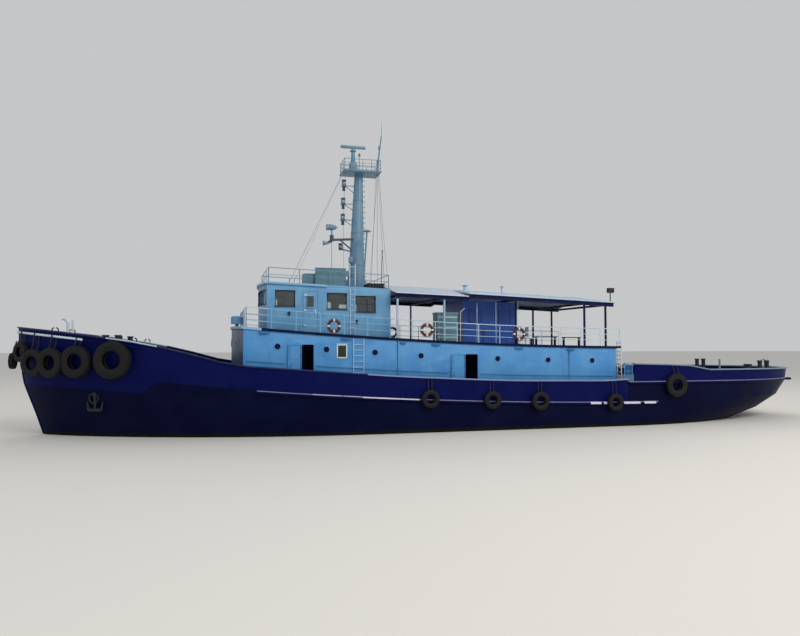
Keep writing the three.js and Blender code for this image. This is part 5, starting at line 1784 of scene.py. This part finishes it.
    def furniture(self) -> None:
        """Lay slats on the benches and set the hand wheel and a chair."""
        slats = []
        for x0, x1 in self.benches:
            for side in BOTH:
                for y in (1.548, 1.585, 1.622):
                    z = self.lines.boat_deck((x0 + x1) / 2) + 0.225
                    foot, head = (x0, side * y - 0.014, z + 0.001), (x1, side * y + 0.014, z + 0.014)
                    slats.append(Bench.block(foot, head))
        Bench.finish(slats, "bench_slats", Slot.WOOD, bevel=0.003)
        wheel = [
            Bench.ring((0.098, -1.83, 2.656), (0, 1, 0), 0.085, 0.008, 28, 6),
            Bench.rod((0.098, -1.84, 2.656), (0.098, -1.78, 2.656), 0.016, sides=10),
            Bench.post(0.098, -1.79, self.lines.boat_deck(0.098), 2.68, 0.014, sides=8),
        ]
        for turn in range(3):
            a = math.pi * turn / 3
            hub, reach = Vector((0.098, -1.83, 2.656)), Vector((math.cos(a), 0, math.sin(a))) * 0.085
            wheel.append(Bench.rod(hub - reach, hub + reach, 0.006, sides=6))
        Bench.finish(wheel, "valve_hand_wheel", Slot.DARK)
        floor = self.lines.boat_deck(1.6)
        chair = [
            Bench.block((1.44, -1.44, floor + 0.2), (1.68, -1.2, floor + 0.225)),
            Bench.block((1.64, -1.44, floor + 0.225), (1.665, -1.2, floor + 0.5)),
        ]
        for x in (1.45, 1.67):
            for y in (-1.43, -1.21):
                chair.append(Bench.post(x, y, floor, floor + 0.21, 0.01, sides=6))
        for y in (-1.45, -1.19):
            arm = [(1.46, y, floor + 0.2), (1.46, y, floor + 0.33), (1.65, y, floor + 0.33)]
            chair.append(Bench.pipe(arm, 0.009, 6))
        Bench.finish(chair, "deck_chair", Slot.BUOY_WHITE, bevel=0.006)


@dataclass
class Wheelhouse:
    """The wheelhouse's plating, window frames, blinds, roof, helm and door gear."""

    lines: Lines
    # Columns: fore end, aft end, foot, head
    side_windows: tuple[tuple[float, float, float, float], ...] = (
        (-5.56, -5.045, 3.33, 3.745), (-4.185, -3.65, 3.265, 3.695), (-3.415, -2.85, 3.195, 3.63),
    )
    front_windows: tuple[float, ...] = (-1.0, -0.5, 0.0, 0.5, 1.0)
    front_heights: tuple[float, float] = (3.37, 3.77)
    wall: float = 1.3

    def build(self) -> None:
        """Make the wheelhouse's pieces."""
        walls = [f"wheelhouse_{part}" for part in ("front", "port", "starboard", "aft")]
        plating = Bench.paint(Slot.WHEELHOUSE, Bench.merged(*walls))[0]
        Bench.tint(plating, Slot.PALE, lambda m: abs(m.y) > self.wall + 0.006 and -3.58 < m.x < -3.42)
        Bench.finish(plating, "wheelhouse_plating", Slot.WHEELHOUSE, replaces=walls, bevel=0.003, smooth=30)
        roof = Bench.paint(Slot.WHEELHOUSE, Bench.merged("wheelhouse_roof"))[0]
        Bench.tint(roof, Slot.RAIL, lambda m: m.x < -4.18 and self.lines.roof.top(m.x, 0.4) - m.z > 0.008)
        Bench.tint(roof, Slot.MAST, lambda m: m.z > self.lines.roof.top(-5.0, 0.0) + 0.1)
        Bench.finish(roof, "wheelhouse_top", Slot.WHEELHOUSE, replaces=["wheelhouse_roof"], bevel=0.006)
        self.frames()
        self.inside()
        self.door_gear()
        self.roof_gear()

    def frames(self) -> None:
        """Frame each window in rubber and slate steel, with sills and the blinds behind."""
        steel, rubber, blinds = [], [], []
        out = -self.wall - 0.004
        for x0, x1, z0, z1 in self.side_windows:
            for edge, radius, pipes in ((0.0, 0.012, steel), (0.012, 0.005, rubber)):
                frame = [(x, out, z) for x, z in corners(x0 + edge, x1 - edge, z0 + edge, z1 - edge)]
                pipes.append(Bench.pipe(frame, radius, 6, closed=True))
            foot, head = (x0 - 0.03, out - 0.022, z0 - 0.026), (x1 + 0.03, out + 0.003, z0 - 0.014)
            steel.append(Bench.block(foot, head))
            shade = (z1 - z0) * 0.22
            blinds.append(Bench.block((x0, -self.wall + 0.055, z1 - shade), (x1, -self.wall + 0.06, z1)))
        x0, x1, z0, z1 = self.side_windows[2]
        middle, level = x0 + (x1 - x0) * 0.6, (z0 + z1) / 2
        steel.append(Bench.block((middle - 0.008, out, z0), (middle + 0.008, out + 0.02, z1)))
        steel.append(Bench.block((x0, out, level - 0.008), (x1, out + 0.02, level + 0.008)))
        x0, x1, z0, z1 = self.side_windows[0]
        fore = x0 + (x1 - x0) * 0.52
        blinds.append(Bench.block((fore, -self.wall + 0.07, z0), (x1, -self.wall + 0.075, z1)))
        Bench.paint(Slot.SLATE, *steel)
        Bench.paint(Slot.RUBBER, *rubber)
        pieces = Bench.both_sides(*steel, *rubber)
        front = Skin(("wheelhouse_front",))
        low, high = self.front_heights
        turns = [(dy, low) for dy in (-0.195, 0.0, 0.195)] + [(dy, high) for dy in (0.195, 0.0, -0.195)]
        for y in self.front_windows:
            path = []
            for dy, z in turns:
                edge = low - 0.03 if z == low else high + 0.03
                hit = front.tree.ray_cast(Vector((-9.0, y + dy, edge)), Vector((1, 0, 0)))[0]
                path.append((hit.x - 0.003, y + dy, z))
            frame = Bench.pipe(path, 0.012, 6, closed=True)
            Bench.paint(Slot.SLATE, frame)
            pieces.append(frame)
        Bench.finish(pieces, "window_frames", Slot.SLATE, smooth=50)
        Bench.finish(Bench.both_sides(*blinds), "window_blinds", Slot.BLIND)

    def inside(self) -> None:
        """Put the helm's console, its wheel, the chart table and a chair inside."""
        floor = self.lines.boat_deck(-5.2)
        desk = [
            Bench.block((-5.6, -0.75, floor), (-5.35, 0.75, floor + 0.42)),
            Bench.block((-5.64, -0.78, floor + 0.42), (-5.33, 0.78, floor + 0.45)),
            Bench.block((-3.3, 0.3, floor - 0.06), (-2.6, 1.1, floor + 0.4)),
            Bench.block((-3.34, 0.26, floor + 0.4), (-2.56, 1.14, floor + 0.43)),
        ]
        for y in (-0.5, 0.45):
            desk.append(Bench.block((-5.56, y - 0.12, floor + 0.45), (-5.44, y + 0.12, floor + 0.62)))
        Bench.finish(desk, "helm_console", Slot.WOOD, bevel=0.01)
        hub = Vector((-5.22, 0.0, floor + 0.45))
        wheel = [Bench.ring(hub, (1, 0, 0), 0.17, 0.01), Bench.rod(hub, hub - Vector((0.13, 0, 0)), 0.02)]
        for turn in range(3):
            reach = Vector((0, math.cos(math.pi * turn / 3), math.sin(math.pi * turn / 3))) * 0.21
            wheel.append(Bench.rod(hub - reach, hub + reach, 0.007, sides=8))
        Bench.finish(wheel, "helm_wheel", Slot.BRONZE)
        seat = [
            Bench.post(-4.85, 0.0, floor - 0.01, floor + 0.28, 0.03),
            Bench.block((-4.98, -0.13, floor + 0.28), (-4.72, 0.13, floor + 0.34)),
            Bench.block((-4.76, -0.13, floor + 0.34), (-4.71, 0.13, floor + 0.66)),
        ]
        Bench.finish(seat, "helm_chair", Slot.DARK, bevel=0.02)

    def door_gear(self) -> None:
        """Fit the wheelhouse doors with a framed pane and a handle; they ride on the leaves."""
        x0, x1, z0, z1 = -4.725, -4.55, 3.29, 3.61
        for side, word in SIDES:
            low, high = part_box(f"wheelhouse_door_{word}")
            out = side * 1.3295
            pane = [(x, out, z) for x, z in corners(x0, x1, z0, z1)]
            gear = [
                Bench.pipe(pane, 0.01, 6, closed=True),
                Bench.rod((-4.5, side * 1.32, 3.2), (-4.5, side * 1.35, 3.2), 0.008, sides=8),
                Bench.rod((-4.5, side * 1.35, 3.2), (-4.57, side * 1.35, 3.2), 0.007, sides=8),
            ]
            plates = [(-4.515, -4.485, 3.12, 3.24, 0.003)]  # under the handle, then the hinges' straps
            for z in (low.z + 0.1, (low.z + high.z) / 2, high.z - 0.1):
                plates.append((-4.81, -4.74, z - 0.014, z + 0.014, 0.004))
            for fore, aft, foot, head, thick in plates:
                near, far = sorted((out, out + side * thick))
                gear.append(Bench.block((fore, near, foot), (aft, far, head)))
            body = f"wheel_door_{word}"
            Bench.finish(gear, f"wheel_door_gear_{word}", Slot.PALE, body, smooth=50)
            glass = Bench.block((x0, side * 1.315 - 0.002, z0), (x1, side * 1.315 + 0.002, z1))
            Bench.finish(glass, f"wheel_door_pane_{word}", Slot.GLASS, body)

    def roof_gear(self) -> None:
        """Run the roof rail, set the ladder's grips, a chest and small lamps, and frame the blank board."""
        y = 1.28
        railing = Railing(
            "roof_railing", "roof_rail", ((-2.48, -y), (-5.74, -y), (-5.74, y), (-2.48, y), (-2.48, -y)),
            0.38, 0.82, ((1.0, 0.01), (0.52, 0.007)), lambda x: self.lines.roof.top(x, 1.1, 4.4), post=0.01,
        )
        bars = Bench.paint(Slot.MAST, *railing.pieces())
        Bench.finish(bars, railing.name, Slot.MAST, replaces=[railing.node])
        grips = [Bench.post(x, -1.33, 3.9, 4.5, 0.01, sides=8) for x in (-3.575, -3.425)]
        grips.append(Bench.rod((-3.575, -1.33, 4.42), (-3.425, -1.33, 4.42), 0.008, sides=8))
        Bench.finish(grips, "ladder_grips", Slot.PALE)
        floor = self.lines.roof.top(-2.8, -0.7, 4.6)
        chest = [
            Bench.block((-3.0, -1.08, floor), (-2.56, -0.5, floor + 0.13)),
            Bench.block((-3.02, -1.1, floor + 0.13), (-2.54, -0.48, floor + 0.15)),
        ]
        Bench.finish(chest, "roof_chest", Slot.DARK, bevel=0.008)
        low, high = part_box("name_board")
        face = low.y - 0.004
        foot = low.z + 0.01
        rim = [(x, face, z) for x, z in corners(low.x, high.x, foot, high.z)]
        frame = [Bench.pipe(rim, 0.011, 6, closed=True)]
        for x in (-4.2, -3.94):
            frame.append(Bench.block((x - 0.005, face, foot), (x + 0.005, face + 0.004, high.z)))
        Bench.finish(frame, "board_frame", Slot.MAST)
        lamps = []
        for x, z in ((-3.374, 2.947), (-5.2, 3.15)):
            lamps.append(Bench.block((x - 0.03, -1.36, z - 0.05), (x + 0.03, -1.302, z + 0.03)))
            lamps.append(Bench.post(x, -1.335, z - 0.05, z - 0.09, 0.018, 0.012, 10))
        Bench.finish(Bench.both_sides(*lamps), "wall_lamps", Slot.DARK, bevel=0.003)


@dataclass
class Mast:
    """The mast with its lamps, arm, searchlight, platform, scanner, whip and stays."""

    lines: Lines
    # Columns: height, reach forward
    lamps: tuple[tuple[float, float], ...] = ((6.98, 0.42), (6.45, 0.44), (5.98, 0.45))
    foot: float = -3.12
    top: float = 7.29
    plate: tuple[float, float, float] = (-3.56, -2.47, 0.38)
    # The column's sections: height, radius
    waist: tuple[tuple[float, float], ...] = ((3.86, 0.39), (4.45, 0.28), (7.29, 0.15))

    def build(self) -> None:
        """Make the mast's pieces."""
        column = Bench.paint(Slot.MAST, Bench.merged("mast"))
        Bench.tint(column[0], Slot.SLATE, lambda m: m.x < self.foot - 0.27)
        pieces = [*column, *self.lamp_gear()]
        Bench.finish(pieces, "mast_column", Slot.MAST, replaces=["mast"], bevel=0.004, smooth=50)
        self.platform()
        self.scanner()
        self.rigging()

    def radius(self, z: float) -> float:
        """Give the column's radius at a height, before it is flattened.

        Args:
            z: The height.

        Returns:
            The radius.
        """
        low, waist, head = self.waist
        if z < waist[0]:
            return low[1] + (waist[1] - low[1]) * (z - low[0]) / (waist[0] - low[0])
        return waist[1] + (head[1] - waist[1]) * (z - waist[0]) / (head[0] - waist[0])

    def middle(self, z: float) -> float:
        """Give the place of the column's middle at a height."""
        return self.foot + 0.06 * max(0.0, z - 4.45) / 2.84

    def back(self, z: float) -> float:
        """Give the place of the column's after face at a height."""
        return self.middle(z) + self.radius(z) * 0.82

    def lamp_gear(self) -> list[Object]:
        """Model the lamps with guards and gussets, the steps, bands, cable, boxes and horn.

        Returns:
            The pieces.
        """
        pieces, lenses = [], []
        for z, reach in self.lamps:
            x = self.foot - reach + 0.04
            lenses.append(Bench.post(x, 0, z - 0.03, z + 0.05, 0.066, sides=20))
            pieces.append(Bench.post(x, 0, z + 0.11, z + 0.135, 0.075, 0.03, 16))
            pieces.append(Bench.post(x, 0, z - 0.075, z - 0.055, 0.08, sides=16))
            pieces.append(Bench.rod((x + 0.05, 0, z - 0.07), (-3.2, 0, z - 0.25), 0.012, sides=6))
            for turn in range(4):
                a = math.tau * (turn + 0.5) / 4
                at = Vector((x + 0.07 * math.cos(a), 0.07 * math.sin(a), z - 0.06))
                pieces.append(Bench.rod(at, at + Vector((0, 0, 0.18)), 0.004, sides=6))
        lenses.append(Bench.post(-3.6, -0.06, 5.1, 5.17, 0.066, sides=20))
        Bench.paint(Slot.LENS_CLEAR, *lenses)
        for z in spread(4.15, 7.1, 20):
            back = self.back(z)
            tread = ((back - 0.02, 0.07), (back + 0.035, 0.07), (back + 0.035, -0.07), (back - 0.02, -0.07))
            pieces.append(Bench.pipe([(x, y, z) for x, y in tread], 0.006, 6))
        for z in (4.6, 5.55, 6.5):
            wide = self.radius(z)
            size = Matrix.Diagonal((wide * 0.84, wide * 0.74, 0.3, 1))
            band = Bench.ring((0, 0, 0), UP, 1.0, 0.03, 24, 6)
            band.data.transform(Matrix.Translation((self.middle(z), 0, z)) @ size)
            pieces.append(band)
        cable = [
            (-3.16, -0.17, 4.0), (-3.13, -0.16, 5.0), (-3.1, -0.135, 6.0), (-3.08, -0.115, 7.0),
            (-3.07, -0.105, 7.28),
        ]
        pieces.append(Bench.pipe(cable, 0.012, 8))
        for x, y, z in ((-3.36, -0.1, 4.35), (-3.37, 0.05, 4.1), (-3.3, -0.16, 4.75)):
            pieces.append(Bench.block((x - 0.08, y - 0.07, z - 0.08), (x + 0.04, y + 0.05, z + 0.08)))
        pieces.append(Bench.rod((-4.15, -0.3, 5.19), (-3.98, -0.3, 5.19), 0.07, 0.02, 20))
        pieces.append(Bench.rod((-3.98, -0.3, 5.19), (-3.88, -0.3, 5.25), 0.02, sides=10))
        pieces.append(Bench.post(-3.9, -0.3, 4.0, 5.26, 0.008, sides=6))
        Bench.paint(Slot.MAST, *pieces)
        return [*pieces, *lenses]

    def platform(self) -> None:
        """Lay the platform's plate with a lip and a railing, the scanner's pedestal and the pole."""
        x0, x1, half = self.plate
        z = self.top + 0.0003
        pieces = [Bench.block((x0, -half, z), (x1, half, z + 0.03))]
        rim = [(x, y, z + 0.03) for x, y in corners(x0, x1, -half, half)]
        pieces.append(Bench.pipe(rim, 0.014, 8, closed=True))
        edge = corners(x0 + 0.02, x1 - 0.02, 0.02 - half, half - 0.02)
        railing = Railing(
            "platform", "mast_platform", (*edge, edge[0]), 0.33, 0.27,
            ((1.0, 0.009), (0.66, 0.006), (0.33, 0.006)),
            lambda _: z + 0.03, post=0.008,
        )
        pieces += railing.pieces()
        pieces.append(Bench.block((-3.33, -0.1, z + 0.02), (-3.13, 0.1, z + 0.33)))
        pieces.append(Bench.post(-3.23, 0, z + 0.3, z + 0.7, 0.07, 0.05, 20))
        pieces.append(Bench.post(-3.23, 0, z + 0.66, z + 0.7, 0.085, sides=20))
        pole = Vector((x1 - 0.06, 0, z + 0.01))
        tip = Vector((-2.38, 0, 8.47))
        pieces.append(Bench.rod(pole, tip, 0.028, 0.02, 12))
        pieces.append(Bench.rod(tip - Vector((0.002, 0, 0.03)), (-2.37, 0, 8.93), 0.009, 0.004, 8))
        for share in (0.35, 0.7):
            at = pole.lerp(tip, share)
            arm = Vector((0, 0.12, 0))
            pieces.append(Bench.rod(at - arm, at + arm, 0.008, sides=6))
            pieces.append(Bench.rod(at + arm - UP * 0.03, at + arm + UP * 0.08, 0.02, sides=10))
        pieces.append(Bench.post(-3.0, 0.2, z + 0.02, z + 0.62, 0.01, sides=8))
        pieces.append(Bench.post(-3.0, 0.2, z + 0.6, z + 0.68, 0.045, 0.02, 14))
        Bench.paint(Slot.MAST, *pieces)
        Bench.finish(pieces, "platform", Slot.MAST, replaces=["mast_platform"], bevel=0.003, smooth=50)

    def scanner(self) -> None:
        """Shape the radar's scanner and the searchlight; each rides on its own body."""
        low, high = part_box("radar_scanner")
        bar = Bench.block((low.x, -0.045, high.z - 0.08), (high.x, 0.045, high.z))
        Bench.modify(bar, "BEVEL", width=0.022, segments=3)
        hub = Bench.post(-3.23, 0, low.z, high.z - 0.07, 0.048, 0.042, 20)
        Bench.finish([bar, hub], "scanner", Slot.MAST, "radar", ["radar_scanner"])
        x, y, z = -3.9, -0.3, 5.6453
        drum = [
            Bench.rod((x + 0.02, y, z), (x - 0.15, y, z), 0.085, sides=28),
            Bench.rod((x + 0.02, y, z), (x + 0.12, y, z), 0.085, 0.05, 28),
            Bench.rod((x + 0.12, y, z), (x + 0.16, y, z), 0.03, 0.02, 14),
            Bench.ring((x - 0.15, y, z), (1, 0, 0), 0.08, 0.008, 28, 8),
            Bench.post(x, y, 5.4203, z - 0.07, 0.022, sides=12),
        ]
        for side in BOTH:
            arm = y + side * 0.078
            drum.append(Bench.post(x, arm, z - 0.07, z + 0.01, 0.007, sides=6))
        drum.append(Bench.rod((x, y - 0.08, z - 0.07), (x, y + 0.08, z - 0.07), 0.009, sides=6))
        Bench.paint(Slot.MAST, *drum)
        lens = Bench.rod((x - 0.147, y, z), (x - 0.153, y, z), 0.078, sides=28)
        Bench.paint(Slot.LENS_CLEAR, lens)
        Bench.finish([*drum, lens], "search_lamp", Slot.MAST, "searchlight", ["searchlight"])

    def rigging(self) -> None:
        """Set up the stays with their screws, and the halyards."""
        for node, plate, foot_x, foot_y in (
            ("forestays", -3.54, -5.05, 0.9), ("backstays", -2.49, -2.52, 1.0)
        ):
            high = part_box(node)[1]
            pieces = [Bench.block((plate - 0.012, -0.09, high.z - 0.024), (plate + 0.012, 0.09, high.z))]
            for side in BOTH:
                top = Vector((plate, side * 0.06, high.z - 0.012))
                roof = self.lines.roof.top(foot_x, foot_y * 0.9, 4.4)
                foot = Vector((foot_x, side * foot_y, roof + 0.03))
                pieces.append(Bench.rod(foot, top, 0.0055, sides=8))
                line = (top - foot).normalized()
                pieces.append(Bench.rod(foot, foot + line * 0.16, 0.012, sides=8))
                pieces.append(Bench.rod(foot + line * 0.16, foot + line * 0.2, 0.008, sides=8))
                pad = Vector((0.025, 0.025, 0.0))
                pieces.append(Bench.block(foot - pad - UP * 0.03, foot + pad + UP * 0.006))
            Bench.finish(pieces, f"{node}_wire", Slot.ZINC, replaces=[node])
        lines = [
            ((-3.5, -0.3, 7.3), (-3.62, -0.45, 6.4), (-3.58, -0.5, 3.95)),
            ((-2.55, -0.2, 7.3), (-2.62, -0.5, 5.4), (-2.66, -0.7, 3.9)),
            ((-2.5, 0.2, 7.3), (-2.52, 0.45, 5.4), (-2.56, 0.6, 3.87)),
            ((-2.52, -0.35, 7.3), (-2.5, -0.6, 5.6), (-2.5, -1.24, 4.22)),
        ]
        cords = [Bench.pipe(path, 0.0035, 6, smooth=True) for path in lines]
        Bench.finish(cords, "halyards", Slot.ROPE)


@dataclass
class DeckGear:
    """The windlass drum, hatches, fairleads, posts and other gear of the decks and the gangways."""

    lines: Lines

    def build(self) -> None:
        """Make the gear's pieces."""
        self.windlass()
        self.anchors()
        self.forecastle()
        self.poop()
        self.gangway()
        self.ventilator()

    def windlass(self) -> None:
        """Shape the windlass drum with its flanges and its chain wheel."""
        low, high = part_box("windlass_drum")
        middle = (low + high) / 2
        radius = (high.x - low.x) / 2
        axis = Vector((middle.x, 0, middle.z))
        drum = [Bench.rod((axis.x, low.y, axis.z), (axis.x, high.y, axis.z), radius * 0.62, sides=28)]
        for y in (low.y + 0.02, -0.06, 0.06, high.y - 0.02):
            foot, head = (axis.x, y - 0.012, axis.z), (axis.x, y + 0.012, axis.z)
            drum.append(Bench.rod(foot, head, radius * 0.99, sides=32))
        for turn in range(5):
            a = math.tau * turn / 5
            for y in (-0.04, 0.04):
                at = axis + Vector((radius * 0.75 * math.cos(a), y, radius * 0.75 * math.sin(a)))
                along = Vector((0, 0.015, 0))
                drum.append(Bench.rod(at - along, at + along, 0.018, sides=8))
        Bench.finish(drum, "drum", Slot.ZINC, "windlass", ["windlass_drum"], bevel=0.003)

    def anchors(self) -> None:
        """Ring the hawse pipes."""
        pieces = []
        for side in BOTH:
            skin, normal = self.lines.side.beside(-9.968, 0.98, side)
            outward = Vector((normal.x, normal.y, normal.z * 0.3)).normalized()
            pieces.append(Bench.ring(skin + outward * 0.012, outward, 0.12, 0.022, 32, 10))
        Bench.finish(pieces, "hawse_rings", Slot.DARK)

    def forecastle(self) -> None:
        """Set the hatch and the fairleads of the foredeck."""
        deck = self.lines.fore.top(-9.1, 0.0)
        pieces = [
            Bench.block((-9.25, -0.3, deck), (-8.7, 0.3, deck + 0.12)),
            Bench.block((-9.28, -0.33, deck + 0.12), (-8.67, 0.33, deck + 0.15)),
        ]
        for x in (-9.25, -8.7):
            for y in (-0.3, 0.3):
                pieces.append(Bench.post(x, y, deck + 0.1, deck + 0.18, 0.012, sides=8))
        Bench.finish(pieces, "fore_hatch", Slot.DECK, bevel=0.006)
        leads = []
        for x in (-10.9, -9.0):
            for side in BOTH:
                top = self.lines.cap(x)
                y = self.lines.side.beside(x, top - 0.1, side)[0].y - side * 0.02
                for lean in (-0.07, 0.07):
                    bends = ((lean, -0.01), (lean, 0.05), (lean * 0.35, 0.085))
                    leads.append(Bench.pipe([(x + dx, y, top + rise) for dx, rise in bends], 0.016, 8))
        Bench.finish(leads, "fairleads", Slot.DARK)

    def poop(self) -> None:
        """Set the posts, capstan, staff, ring and hatch of the poop."""
        deck = POOP_DECK
        bars = [
            Bench.post(7.894, -1.7, deck, 1.867, 0.03, sides=12),
            Bench.post(10.3, -0.9, deck, 1.818, 0.03, sides=12),
        ]
        Bench.finish(bars, "poop_posts", Slot.CAP)
        capstan = [
            Bench.post(9.1, -1.5, deck + foot, deck + head, wide, tip, 24)
            for foot, head, wide, tip in (
                (0.0, 0.1, 0.16, 0.15), (0.1, 0.38, 0.12, 0.085), (0.38, 0.44, 0.125, 0.12)
            )
        ]
        Bench.finish(capstan, "capstan", Slot.DARK, bevel=0.006)
        staff = [
            Bench.rod((11.12, 0, deck), (11.26, 0, 1.88), 0.014, 0.009, 10),
            Bench.ring((9.956, -1.2, 1.72), (0, 1, 0), 0.12, 0.016, 28, 8),
            Bench.post(9.956, -1.2, deck, 1.6, 0.02, sides=10),
        ]
        hatch = [
            Bench.block((6.9, -0.35, deck), (7.6, 0.35, deck + 0.14)),
            Bench.block((6.87, -0.38, deck + 0.14), (7.63, 0.38, deck + 0.17)),
        ]
        Bench.finish(staff, "stern_staff", Slot.ZINC)
        Bench.finish(hatch, "aft_hatch", Slot.DECK, bevel=0.006)

    def gangway(self) -> None:
        """Hang a barred gate in the gap between the bulwarks."""
        for side, word in SIDES:
            y = side * 2.3
            pieces = [Bench.post(x, y, 1.264, 1.8, 0.012, sides=8) for x in (4.2, 4.455)]
            slim = spread(4.242, 4.412, 5)
            pieces += [Bench.post(x, y, 1.33, 1.78, 0.006, sides=6) for x in slim]
            pieces += [Bench.rod((4.2, y, z), (4.455, y, z), 0.009, sides=8) for z in (1.33, 1.555, 1.78)]
            Bench.finish(pieces, f"gangway_gate_{word}", Slot.HOUSE)

    def ventilator(self) -> None:
        """Round off the ventilator before the wheelhouse."""
        low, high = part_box("front_ventilator")
        middle = (low + high) / 2
        pieces = [
            Bench.post(middle.x, 0, low.z, high.z - 0.16, 0.05, sides=16),
            Bench.post(middle.x, 0, high.z - 0.22, high.z - 0.03, 0.163, sides=32),
            Bench.post(middle.x, 0, high.z - 0.03, high.z, 0.163, 0.12, 32),
            Bench.ring((middle.x, 0, high.z - 0.21), (0, 0, 1), 0.155, 0.01, 32, 6),
        ]
        Bench.finish(pieces, "cowl", Slot.WHEELHOUSE, replaces=["front_ventilator"])


@dataclass
class Stage:
    """The pale floor at the waterline, the lights and the camera."""

    floor_size: float = 400.0
    floor_colour: str = "dcdad5"
    sky_colour: str = "eef0f2"
    camera_place: tuple[float, float, float] = (-7.155, -19.955, 2.3)
    camera_turn: tuple[float, float, float] = (92.2, 0.0, -15.0)
    lens: float = 31.5
    sky_light: float = 0.65
    # Columns: name, place, size, power, colour
    lamps: tuple[tuple[str, tuple[float, float, float], float, float, str], ...] = (
        ("key", (8.0, -26.0, 22.0), 14.0, 4700.0, "fffaf2"),
        ("fill", (-26.0, -16.0, 12.0), 14.0, 500.0, "f2f6ff"),
        ("quarter", (27.0, -17.0, 9.0), 8.0, 700.0, "fff0e4"),
        ("back", (6.0, 24.0, 18.0), 16.0, 2000.0, "fff6ea"),
    )

    def build(self) -> None:
        """Make the floor, the world, the lamps and the camera."""
        bpy.ops.object.select_all(action="DESELECT")
        bpy.ops.mesh.primitive_plane_add(size=self.floor_size, location=(0, 0, 0))
        floor = bpy.context.object
        floor.name = "floor"
        ground = Graph("matt_floor")
        ground.coat({"Base Color": linear(self.floor_colour), "Roughness": 0.9})
        floor.data.materials.append(ground.material)
        world = bpy.data.worlds.new("studio")
        world.use_nodes = True
        background = world.node_tree.nodes["Background"]
        background.inputs[0].default_value = linear(self.sky_colour)
        background.inputs[1].default_value = self.sky_light
        bpy.context.scene.world = world
        for name, place, size, power, colour in self.lamps:
            bpy.ops.object.light_add(type="AREA", location=place)
            lamp = bpy.context.object
            lamp.name = name
            lamp.data.size = size
            lamp.data.energy = power
            lamp.data.color = linear(colour)[:3]
            lamp.rotation_euler = (Vector((0, 0, 1.5)) - Vector(place)).to_track_quat("-Z", "Y").to_euler()
        bpy.ops.object.camera_add(
            location=self.camera_place, rotation=[math.radians(a) for a in self.camera_turn]
        )
        camera = bpy.context.object
        camera.data.lens = self.lens
        camera.data.sensor_width = 36.0
        camera.data.sensor_fit = "HORIZONTAL"
        camera.data.clip_end = 1000.0
        bpy.context.scene.camera = camera
        bpy.context.scene.view_settings.view_transform = "Standard"


def dress_nodes() -> None:
    """Give each CAD node that still shows the finish of its record slot."""
    for part in FRAME["record"]["subparts"]:
        node = FRAME["nodes"][part["node"]]
        if not node.hide_render:
            Bench.paint(FINISHES[part["material_slot"]][0], node)
    Bench.paint(Slot.POSTS, FRAME["nodes"]["canopy_frame"])


def main() -> None:
    """Build the ship's pieces in order."""
    lines = Lines()
    Stage().build()
    Hull(lines).build()
    Fenders(lines).build()
    Deckhouse(lines).build()
    BoatDeck(lines).build()
    Wheelhouse(lines).build()
    Mast(lines).build()
    DeckGear(lines).build()
    dress_nodes()


if __name__ == "__main__":
    logging.basicConfig(level=logging.INFO, format="%(name)s: %(message)s")
    main()
